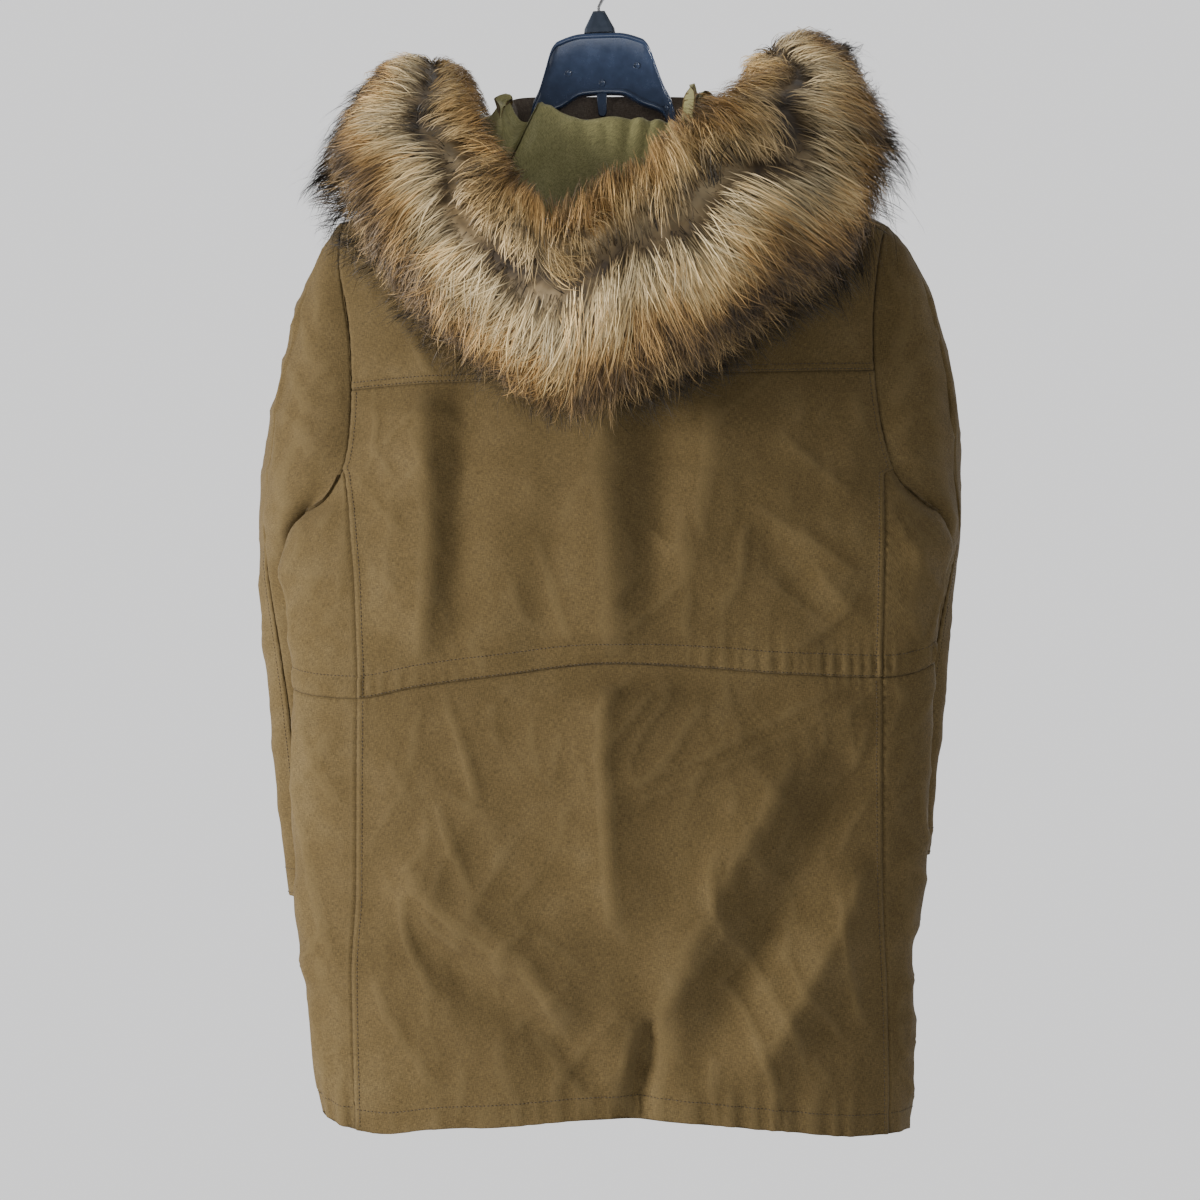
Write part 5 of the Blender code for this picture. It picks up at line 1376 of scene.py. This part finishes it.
def strands(ruff, name, material, count, locks, seed, outward, length, lift, roots, width, stick):
    """Fur as tapered strands that leave their roots in locks and lie over one another.

    A strand's place across the ruff is 0 at the parting and 1 at the edge it lies towards.
    """
    draw = np.random.default_rng(seed)

    def vary(word, number):
        return draw.normal(0.0, SPREAD[word], number)

    total = ruff.run[-1]
    lock_run = draw.uniform(0.0, total, locks)
    lock_place = mix(*roots, draw.uniform(0.0, 1.0, locks) ** LOCK_CROWD)
    lock_lean = vary("lock lean", locks) + LOCK_SWAY * np.sin(lock_run / LOCK_WAVE + 2.0 * lock_place)
    lock_length = length * draw.uniform(*LOCK_LENGTHS, locks)
    lock_lift = vary("lock lift", locks)
    lock_tone = vary("lock tone", locks)
    tip_run = lock_run + vary("tip run", locks)
    tip_place = lock_place + vary("tip place", locks)
    pick = draw.integers(0, locks, count)
    gather = draw.uniform(*GATHER, count)

    # root and end of each strand, along the ruff and across it
    run = lock_run[pick] + vary("run", count)
    place = lock_place[pick] + vary("place", count)
    run = np.clip(run, RUN_CLEAR, total - RUN_CLEAR)
    place = np.clip(place, PLACE_CLEAR[0], roots[1] + PLACE_CLEAR[1])
    wide_arc = ruff.read(ruff.half, run) * (OUTER_ARC if outward else INNER_ARC)
    arc = wide_arc + ruff.read(ruff.deep, run) * DEEP_ARC
    long = lock_length[pick] * draw.uniform(*STRAND_LENGTHS, count) * np.clip(arc / FULL_ARC, LEAST_ARC, 1.0)
    end_run = run + lock_lean[pick] + vary("end run", count)
    end_run += gather * GATHER_RUN * (tip_run[pick] - run)
    end_place = place + long / arc * (1 + vary("end place", count))
    end_place += gather * GATHER_PLACE * (tip_place[pick] - place)
    root_reach = ROOT_REACH + ROOT_SPREAD * draw.uniform(0.0, 1.0, count)
    tip_reach = TIP_REACH + lift + lock_lift[pick] + vary("tip reach", count)
    bend = vary("bend", (count, 3))

    # points of each strand from its root to its tip
    t = np.linspace(0.0, 1.0, STRAND_POINTS)[None, :]
    runs = mix(run[:, None], end_run[:, None], t ** RUN_CURVE)
    places = mix(place[:, None], end_place[:, None], t)
    over = np.maximum(places - EDGE_PLACE, 0.0)
    kept = places - over * EDGE_TURNED
    reach = mix(root_reach[:, None], tip_reach[:, None], np.sin(t * math.pi / 2) ** REACH_CURVE)
    ease = 1 - SHORT_SHARE * bell(ruff.read(ruff.at, run) - SHORT_STATION, SHORT_HALF)
    reach = reach + over * stick * ease[:, None]
    parting = PARTING + sum(size * np.sin(runs / wave + start) for size, wave, start in PARTING_SWAY)
    turns = parting - kept * OUTER_TURN if outward else parting + kept * INNER_TURN
    spots = ruff.point(runs, turns, reach)
    spots += bend[:, None, :] * np.sin(t * math.pi)[..., None]
    spots[..., 2] -= EDGE_SAG * (t ** 2) * np.clip(over * 3, 0, 1)

    # its two sides, turned about it by chance
    out = unit(spots - ruff.point(runs, turns, 0.0 * reach))
    across = unit(np.cross(np.gradient(spots, axis=1), out))
    twist = vary("twist", count)[:, None, None]
    across = across * np.cos(twist) + out * np.sin(twist)
    thick = width * draw.uniform(*STRAND_WIDTHS, count)[:, None] * (1 - STRAND_TAPER * t ** TAPER_CURVE)
    side = (across * thick[..., None])[:, :-1]
    mesh = ribbon_mesh(name, spots[:, :-1] - side, spots[:, :-1] + side, spots[:, -1:])

    band = BAND_START + ROOT_BAND * np.clip(place, 0.0, ROOT_MOST)[:, None]
    band = band + PLACE_BAND * np.clip(places, 0.0, PLACE_MOST) + LOCK_BAND * lock_tone[pick][:, None]
    tone = LOCK_TONE * lock_tone[pick] + OWN_TONE * vary("tone", count)
    streaks = STREAK_DEPTH * streaked(spots[..., 0], spots[..., 2])
    add_value(mesh, "band", ribbon_values(band))
    add_value(mesh, "rise", ribbon_values(t + 0.0 * band))
    add_value(mesh, "tone", ribbon_values(tone[:, None] - streaks))
    link(name, mesh, material)


HIDE_SHARE = 0.72          # of the ruff's section
HIDE_SIDES = 28
HIDE_STATIONS = 200
HIDE_CLEAR = 0.004         # from the ruff's ends
HIDE_LUMPS = ((0.0022, 0.010, 41), (0.0014, 0.004, 43))      # height, size and seed
# the hide sits low on the strands' rise, so it takes their painted shade at the roots
HIDE_BAND, HIDE_RISE = 0.62, 0.05    # its colour value for its place, and how far up a strand it is
HIDE_TONE = (0.012, 44)              # size and seed of its tone's patches
INNER_FROM = 2.4           # place, counted outwards, from which a side is the inner pile's


def make_hide(ruff, material):
    """The fur's hide, a tube below the pile, coloured as the strands' roots with their painted shade."""
    stations = np.linspace(HIDE_CLEAR, ruff.run[-1] - HIDE_CLEAR, HIDE_STATIONS)[:, None]
    turns = np.linspace(0.0, 360.0, HIDE_SIDES, endpoint=False)
    grid = ruff.point(stations, turns[None, :], np.full((HIDE_STATIONS, HIDE_SIDES), HIDE_SHARE))
    pile = sum(tall * bumps(grid, size, seed) for tall, size, seed in HIDE_LUMPS)
    grid = grid + unit(grid - grid.mean(axis=1, keepdims=True)) * pile[..., None]
    mesh = mesh_of("fur_hide", grid.reshape(-1, 3), tube_faces(HIDE_STATIONS, HIDE_SIDES))
    reshape(mesh, face_out)
    whole = 360.0 / OUTER_TURN
    place = ((PARTING - turns) / OUTER_TURN) % whole
    place = np.where(place > INNER_FROM, (whole - place) * OUTER_TURN / INNER_TURN, place)
    add_value(mesh, "band", np.tile(HIDE_BAND * place, HIDE_STATIONS))
    add_value(mesh, "rise", np.full(HIDE_STATIONS * HIDE_SIDES, HIDE_RISE))
    add_value(mesh, "tone", bumps(grid, *HIDE_TONE).ravel())
    thing = link("fur_hide", mesh, material, ["fur_ruff"])


# layers of the pile: strands, locks, seed, whether it lies outwards, length, lift above the ruff,
# first and last place of its roots, half width, and how far it stands out past the ruff's edge
PILE = {
    "fur_outer": (20500, 1300, 51, True, 0.054, 0.02, (0.02, 0.62), 0.00042, 0.80),
    "fur_edge": (15500, 1000, 52, True, 0.046, 0.00, (0.45, 1.02), 0.00040, 0.80),
    "fur_inner": (15500, 1000, 53, False, 0.032, 0.02, (0.02, 0.84), 0.00040, 0.12),
    "fur_wisps": (2600, 900, 54, True, 0.058, 0.10, (0.10, 1.00), 0.00026, 0.85),
}


def make_fur(outer_fur, inner_fur):
    ruff = Ruff()
    make_hide(ruff, outer_fur)
    thin = 1.0
    for name, (count, *rest) in PILE.items():
        strands(ruff, name, inner_fur if name == "fur_inner" else outer_fur, int(count * thin), *rest)


# ---------------------------------------------------------------- hanger
HANGER_STATIONS = 150
HANGER_CROWD = 1.25        # stations crowd towards the middle by this power
HANGER_CURVE = 0.0012      # rounding of the rim
HANGER_SHARP = math.radians(50)
WEB_FADE = 0.006           # the web rises to the rim over this at the arms' tips
RIM_MOST = 0.45            # the rim's height is at most this share of a station's half height
TIP_LEAST = 0.12           # and an arm's tip keeps at least the root of this share of it


def rim_levels(tall, web):
    """Heights and half thicknesses from the top of a station to its middle."""
    curve, rim, thick = HANGER_CURVE, min(HANGER_RIM, tall * RIM_MOST), HANGER_THICK
    return [(tall, thick - 2 * curve), (tall - 0.3 * curve, thick - 0.7 * curve), (tall - curve, thick),
            (tall - rim + curve, thick), (tall - rim, thick - 0.5 * curve),
            (tall - rim - 0.4 * curve, web + 0.4 * curve), (tall - rim - 1.4 * curve, web), (0.0, web)]


def make_plate(plastic):
    """Moulded plate with a rounded rim and a sunk web."""
    shares = np.linspace(-1.0, 1.0, 2 * HANGER_STATIONS + 1)
    xs = HANGER_HALF * np.sign(shares) * np.abs(shares) ** HANGER_CROWD
    vertices = []
    for x in xs:
        top, bottom = hanger_edges(abs(x))
        past = max(abs(x) - HANGER_END, 0.0) / (HANGER_HALF - HANGER_END)
        mid, tall = (top + bottom) / 2, (top - bottom) / 2 * math.sqrt(max(1.0 - past ** 2, TIP_LEAST))
        levels = rim_levels(tall, mix(HANGER_THICK, HANGER_WEB, clamp((HANGER_END - abs(x)) / WEB_FADE)))
        levels += [(-height, deep) for height, deep in reversed(levels[:-1])]
        ring = [(x, -deep, mid + height) for height, deep in levels]
        ring += [(x, deep, mid + height) for height, deep in reversed(levels)]
        vertices += [tilted(p) for p in ring]
    mesh = mesh_of("hanger_plate", vertices, tube_faces(len(xs), len(vertices) // len(xs)))
    reshape(mesh, face_out)
    mesh.set_sharp_from_angle(angle=HANGER_SHARP)
    link("hanger_plate", mesh, plastic, ["hanger_body"])


TAB_TOP, TAB_END = -0.1310, -0.1550
TAB_HALF = 0.0050
TAB_ROUND = 0.004          # radius of its end
TAB_RINGS = ((-1.0, 0.85), (-0.6, 1.0), (0.6, 1.0), (1.0, 0.85))     # shares of depth and of width
TAB_STEPS = 8
TAB_NARROW, TAB_FOOT = 0.9, 0.8      # shares of its width half way down and at its foot
TAB_BEVEL = 0.1            # share of a ring's narrowing that it takes in height


def make_tab(plastic):
    """Rounded tongue below the middle of the arch."""
    middle_z = (TAB_TOP + TAB_END) / 2
    outline = [(-TAB_HALF, TAB_TOP), (-TAB_HALF * TAB_NARROW, middle_z)]
    for k in range(TAB_STEPS + 1):
        turn = math.pi * (1 + k / TAB_STEPS)
        outline.append((TAB_FOOT * TAB_HALF * math.cos(turn), TAB_END + TAB_ROUND * (1 + math.sin(turn))))
    outline += [(TAB_HALF * TAB_NARROW, middle_z), (TAB_HALF, TAB_TOP)]
    vertices = []
    for deep, wide in TAB_RINGS:
        for x, z in outline:
            tall = mix(middle_z, z, 1 - TAB_BEVEL * (1 - wide))
            vertices.append(tilted((x * wide, deep * HANGER_WEB, tall)))
    mesh = mesh_of("hanger_tab", vertices, tube_faces(len(TAB_RINGS), len(outline)), False)
    reshape(mesh, face_out)
    link("hanger_tab", mesh, plastic)


# middles of the ejector marks
PINS = ((-0.0315, -0.1130), (0.0340, -0.1080), (0.0005, -0.1240), (-0.0570, -0.1650), (0.0600, -0.1600))
PIN_RADIUS = 0.0034
PIN_SIDES = 24
PIN_CLEAR = 0.010          # from the plate's edges
PIN_RINGS = ((1.0, -0.0004), (1.0, 0.0005), (0.82, 0.0007), (0.74, 0.0002), (0.0, 0.0002))
PIN_MERGE = 0.00001


def make_pins(plastic):
    """Shallow round ejector marks on both faces of the web."""
    vertices, faces = [], []
    for x, z in PINS:
        top, bottom = hanger_edges(abs(x))
        z = clamp(z, bottom + PIN_CLEAR, top - PIN_CLEAR)
        for face in (-1, 1):
            for quad in tube_faces(len(PIN_RINGS), PIN_SIDES, False):
                quad = tuple(len(vertices) + k for k in quad)
                faces.append(quad if face < 0 else quad[::-1])
            for share, deep in PIN_RINGS:
                for turn in np.linspace(0.0, 2 * math.pi, PIN_SIDES, endpoint=False):
                    across, up = PIN_RADIUS * share * math.cos(turn), PIN_RADIUS * share * math.sin(turn)
                    vertices.append(tilted((x + across, face * (HANGER_WEB + deep), z + up)))
    mesh = mesh_of("hanger_marks", vertices, faces)
    reshape(mesh, lambda shape: bmesh.ops.remove_doubles(shape, verts=shape.verts, dist=PIN_MERGE))
    link("hanger_marks", mesh, plastic)


def make_hanger(plastic, steel, marker):
    """The moulded body; the hook and the size marker keep their solids, with new materials."""
    make_plate(plastic)
    make_pins(plastic)
    make_tab(plastic)
    for name, material in (("hanger_hook", steel), ("size_marker", marker)):
        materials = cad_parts[name].data.materials
        materials.clear()
        materials.append(material)


# ---------------------------------------------------------------- materials
def srgb(red, green, blue):
    """A linear colour from the 0 to 255 values that a screen shows, none of them under 11."""
    return tuple(((c / 255 + 0.055) / 1.055) ** 2.4 for c in (red, green, blue))


def grey(level):
    return (level, level, level)


class Look:
    """A material's nodes; a value given to a socket is a number, a colour or another node's output."""

    def __init__(self, name):
        self.material = bpy.data.materials.new(name)
        self.material.use_nodes = True
        self.tree = self.material.node_tree
        self.shader = self.tree.nodes["Principled BSDF"]

    def put(self, socket, value):
        if isinstance(value, bpy.types.NodeSocket):
            self.tree.links.new(value, socket)
        elif isinstance(value, tuple) and socket.type == "RGBA":
            socket.default_value = (*value, 1.0)
        else:
            socket.default_value = value

    def add(self, kind, inputs=None, **settings):
        made = self.tree.nodes.new(f"ShaderNode{kind}")
        for name, value in settings.items():
            setattr(made, name, value)
        for name, value in (inputs or {}).items():
            self.put(made.inputs[name], value)
        return made

    def surface(self, **inputs):
        for name, value in inputs.items():
            self.put(self.shader.inputs[name.replace("_", " ")], value)

    def math(self, operation, first, second):
        return self.add("Math", {0: first, 1: second}, operation=operation).outputs[0]

    def noise(self, vector, scale, detail, rough):
        inputs = {"Scale": scale, "Detail": detail, "Roughness": rough, "Vector": vector}
        return self.add("TexNoise", inputs).outputs["Fac"]

    def place(self):
        return self.add("TexCoord").outputs["Object"]

    def read(self, name):
        return self.add("Attribute", attribute_name=name).outputs["Fac"]

    def ramp(self, share, *stops):
        made = self.add("ValToRGB", {"Fac": share})
        line = made.color_ramp
        while len(line.elements) < len(stops):
            line.elements.new(0.5)
        for element, (at, colour) in zip(line.elements, stops):
            element.position = at
            element.color = (*colour, 1.0)
        return made.outputs["Color"]

    def blend(self, kind, share, first, second):
        made = self.add("Mix", data_type="RGBA", blend_type=kind)
        self.put(made.inputs["Factor"], share)
        for name, value in (("A", first), ("B", second)):
            self.put([s for s in made.inputs if s.name == name and s.type == "RGBA"][0], value)
        return [s for s in made.outputs if s.type == "RGBA"][0]

    def bump(self, height, strength, distance, below=None):
        inputs = {"Height": height, "Strength": strength, "Distance": distance}
        if below:
            inputs["Normal"] = below
        return self.add("Bump", inputs).outputs["Normal"]


THREADS_ALONG, THREADS_ACROSS = 1400.0, 240.0        # noise cells in a metre, for the slubby weave


def cotton_material(name, colour, shadow, light, sheen, weave=1.0, rough=0.78):
    """Plain woven cotton: slubby threads both ways, wear and a painted highlight on crests, painted shade in
    the seams.
    """
    look = Look(name)
    place = look.place()
    cut = look.add("UVMap", uv_map="cut").outputs["UV"]
    threads = []
    for scale in ((THREADS_ALONG, THREADS_ACROSS, 1.0), (THREADS_ACROSS, THREADS_ALONG, 1.0)):
        turned = look.add("Mapping", {"Vector": cut, "Scale": scale}).outputs["Vector"]
        threads.append(look.noise(turned, scale=1.0, detail=3.0, rough=0.6))
    cloth = look.math("ADD", *threads)
    patch = look.noise(place, scale=5.0, detail=4.0, rough=0.55)
    fade = look.noise(place, scale=26.0, detail=5.0, rough=0.6)
    shade = look.math("MULTIPLY", look.math("ADD", patch, fade), 0.5)
    base = look.ramp(shade, (0.30, shadow), (0.52, colour), (0.75, light))
    grain = look.ramp(look.math("MULTIPLY", cloth, 0.5), (0.38, grey(0.60)), (0.62, grey(1.38)))
    tint = look.blend("MULTIPLY", 1.0, base, grain)
    # crests are painted paler: partly wear, partly a painted highlight on the ridges
    wear_and_highlight = look.math("MULTIPLY", look.read("crest"), 0.60)
    wear_and_highlight = look.add("Clamp", {"Value": wear_and_highlight, "Min": 0.0, "Max": 0.35}).outputs[0]
    tint = look.blend("MIX", wear_and_highlight, tint, light)
    # painted shade: the cloth is darker within a few millimetres of its seams
    near = look.math("MULTIPLY", look.read("edge"), 0.10)
    deep = look.ramp(near, (0.0, grey(0.70)), (0.10, grey(0.95)), (0.30, grey(1.0)))
    dull = look.ramp(fade, (0.3, grey(rough + 0.08)), (0.7, grey(rough - 0.08)))
    raised = look.bump(cloth, strength=0.55 * weave, distance=0.0005)
    raised = look.bump(fade, strength=0.5, distance=0.0015, below=raised)
    look.surface(Base_Color=look.blend("MULTIPLY", 1.0, tint, deep), Roughness=dull, Normal=raised,
                 Sheen_Weight=sheen, Sheen_Roughness=0.5, Specular_IOR_Level=0.12)
    return look.material


def fur_material(name, bands, dark_from, dark):
    """Banded pile: colour runs across the ruff, each strand's tip is dark, and painted shade darkens each
    strand towards its root.
    """
    look = Look(name)
    band, rise, tone = look.read("band"), look.read("rise"), look.read("tone")
    patch = look.noise(look.place(), scale=14.0, detail=4.0, rough=0.6)
    shift = look.math("MULTIPLY", look.math("SUBTRACT", patch, 0.5), 0.46)
    across = look.ramp(look.math("ADD", band, shift), *bands)
    bright = look.math("ADD", look.math("MULTIPLY", tone, 0.36), 1.0)
    lit = look.add("CombineColor", {0: bright, 1: bright, 2: bright}).outputs["Color"]
    tint = look.blend("MULTIPLY", 1.0, across, lit)
    # painted shade: strands darken towards their roots, deep in the pile
    root = look.ramp(rise, (0.0, (0.30, 0.27, 0.25)), (0.28, grey(1.0)))
    tint = look.blend("MULTIPLY", 1.0, tint, root)
    tip = look.ramp(rise, (dark_from, grey(0.0)), (min(dark_from + 0.18, 1.0), grey(1.0)))
    tint = look.blend("MIX", look.math("MULTIPLY", tip, 0.85), tint, dark)
    look.surface(Base_Color=tint, Roughness=0.55, Sheen_Weight=0.05, Specular_IOR_Level=0.35)
    return look.material


def moulded_material(name, colour, rough, metallic=0.0):
    """Moulded plastic, thread or wire with faint scuffs."""
    look = Look(name)
    scuff = look.noise(look.place(), scale=90.0, detail=6.0, rough=0.65)
    tint = look.ramp(scuff, (0.35, tuple(c * 0.85 for c in colour)), (0.75, tuple(c * 1.25 for c in colour)))
    dull = look.ramp(scuff, (0.35, grey(rough * 0.8)), (0.75, grey(rough * 1.35)))
    raised = look.bump(scuff, strength=0.15, distance=0.0004)
    look.surface(Base_Color=tint, Roughness=dull, Normal=raised, Metallic=metallic)
    return look.material


# ---------------------------------------------------------------- light, camera and floor
CAMERA_AT = (0.003, -1.75, -0.616)
SENSOR, LENS = 36.0, 55.0
FLOOR_Z = -1.70
FLOOR_RADIUS = 1.35
FLOOR_SIDES = 96
FLOOR_PAINT = (0.72, 0.72, 0.71)
WALL_PAINT = srgb(214, 214, 215)
# the room's strength by the Y of a ray's direction: dim before the coat's back, bright behind the coat
ROOM_RANGE = {"From Min": -0.5, "From Max": 0.6, "To Min": 0.34, "To Max": 1.72}
LAMPS_AIM = Vector((0.0, 0.0, -0.6))
# name, place, size, watts and colour
LAMPS = (
    ("key", (-2.70, -1.30, -0.62), 0.9, 182.0, (1.0, 0.985, 0.96)),
    ("fill", (1.60, -1.55, -0.50), 1.2, 8.0, (0.97, 0.985, 1.0)),
    ("front", (0.05, -2.10, -0.70), 1.0, 12.0, (0.94, 0.97, 1.0)),
    ("back", (0.3, 1.9, 0.3), 1.5, 20.0, (1.0, 1.0, 1.0)),
)


def set_up(name, data, place):
    thing = bpy.data.objects.new(name, data)
    thing.location = place
    bpy.context.scene.collection.objects.link(thing)
    return thing


def make_camera():
    camera = bpy.data.cameras.new("camera")
    camera.sensor_width = SENSOR
    camera.lens = LENS
    eye = set_up("camera", camera, CAMERA_AT)
    eye.rotation_euler = (math.radians(90), 0.0, 0.0)
    bpy.context.scene.camera = eye


def make_floor():
    mesh = bpy.data.meshes.new("floor")
    reshape(mesh, lambda shape: bmesh.ops.create_circle(shape, cap_ends=True, segments=FLOOR_SIDES,
                                                        radius=FLOOR_RADIUS))
    look = Look("floor_paint")
    look.surface(Base_Color=FLOOR_PAINT, Roughness=0.9)
    mesh.materials.append(look.material)
    set_up("floor", mesh, (0.0, 0.0, FLOOR_Z))


def make_room():
    """Studio wall all round, and four soft lamps."""
    world = bpy.data.worlds.new("studio")
    bpy.context.scene.world = world
    world.use_nodes = True
    nodes, links = world.node_tree.nodes, world.node_tree.links
    sky = nodes["Background"]
    sky.inputs["Color"].default_value = (*WALL_PAINT, 1.0)
    way = nodes.new("ShaderNodeTexCoord")
    parts = nodes.new("ShaderNodeSeparateXYZ")
    level = nodes.new("ShaderNodeMapRange")
    for socket, value in ROOM_RANGE.items():
        level.inputs[socket].default_value = value
    links.new(way.outputs["Generated"], parts.inputs["Vector"])
    links.new(parts.outputs["Y"], level.inputs["Value"])
    links.new(level.outputs["Result"], sky.inputs["Strength"])
    for name, place, size, watts, colour in LAMPS:
        lamp = bpy.data.lights.new(name, "AREA")
        lamp.size = size
        lamp.energy = watts
        lamp.color = colour
        thing = set_up(name, lamp, place)
        thing.rotation_euler = (LAMPS_AIM - Vector(place)).to_track_quat("-Z", "Y").to_euler()


# ---------------------------------------------------------------- colours
# middle, darker and paler tone of each cloth, picked by patches of noise; the paler one is also painted on
# crests as wear and a highlight
OLIVE = (srgb(86, 71, 43), srgb(78, 64, 38), srgb(97, 82, 53))
# painted light: the lining's tones are paler than the satin's own, for the light it reflects in the shade of
# the fur
LIT_LINING = (srgb(138, 133, 92), srgb(116, 111, 74), srgb(160, 155, 116))
FACING = (srgb(106, 94, 82), srgb(98, 86, 74), srgb(120, 108, 96))
THREAD = srgb(58, 46, 28)
FUR_DARK = srgb(34, 29, 26)
# share of the way across the ruff, and colour there
OUTER_BANDS = ((0.00, srgb(82, 68, 48)), (0.07, srgb(142, 122, 86)), (0.18, srgb(208, 188, 146)),
               (0.32, srgb(202, 174, 122)), (0.42, srgb(176, 138, 82)), (0.52, srgb(116, 90, 54)),
               (0.60, srgb(60, 47, 33)), (0.70, srgb(124, 99, 62)), (0.80, srgb(140, 116, 76)),
               (0.90, srgb(56, 45, 32)), (1.00, srgb(18, 15, 14)))
INNER_BANDS = ((0.00, srgb(86, 72, 50)), (0.12, srgb(172, 148, 106)), (0.32, srgb(180, 150, 98)),
               (0.55, srgb(152, 118, 68)), (0.80, srgb(108, 85, 52)), (1.00, srgb(44, 36, 28)))


def main():
    make_camera()
    make_floor()
    make_room()
    cotton = cotton_material("olive_cotton_weave", *OLIVE, 0.04)
    satin = cotton_material("green_satin", *LIT_LINING, 0.0, weave=0.25, rough=0.42)
    make_back(cotton)
    make_sides(cotton)
    make_fronts(cotton)
    make_storm_flap(cotton)
    make_collar(cotton_material("brown_facing_cloth", *FACING, 0.1))
    make_sleeves(cotton)
    make_hood(cotton, satin)
    make_stitches(moulded_material("olive_thread", THREAD, 0.7))
    make_fur(fur_material("banded_fur_outer", OUTER_BANDS, 0.74, FUR_DARK),
             fur_material("banded_fur_inner", INNER_BANDS, 0.84, FUR_DARK))
    make_hanger(moulded_material("hanger_plastic_gloss", (0.028, 0.043, 0.084), 0.24),
                moulded_material("hook_steel_wire", (0.50, 0.50, 0.51), 0.25, metallic=1.0),
                moulded_material("marker_plastic_satin", (0.022, 0.030, 0.045), 0.35))


main()
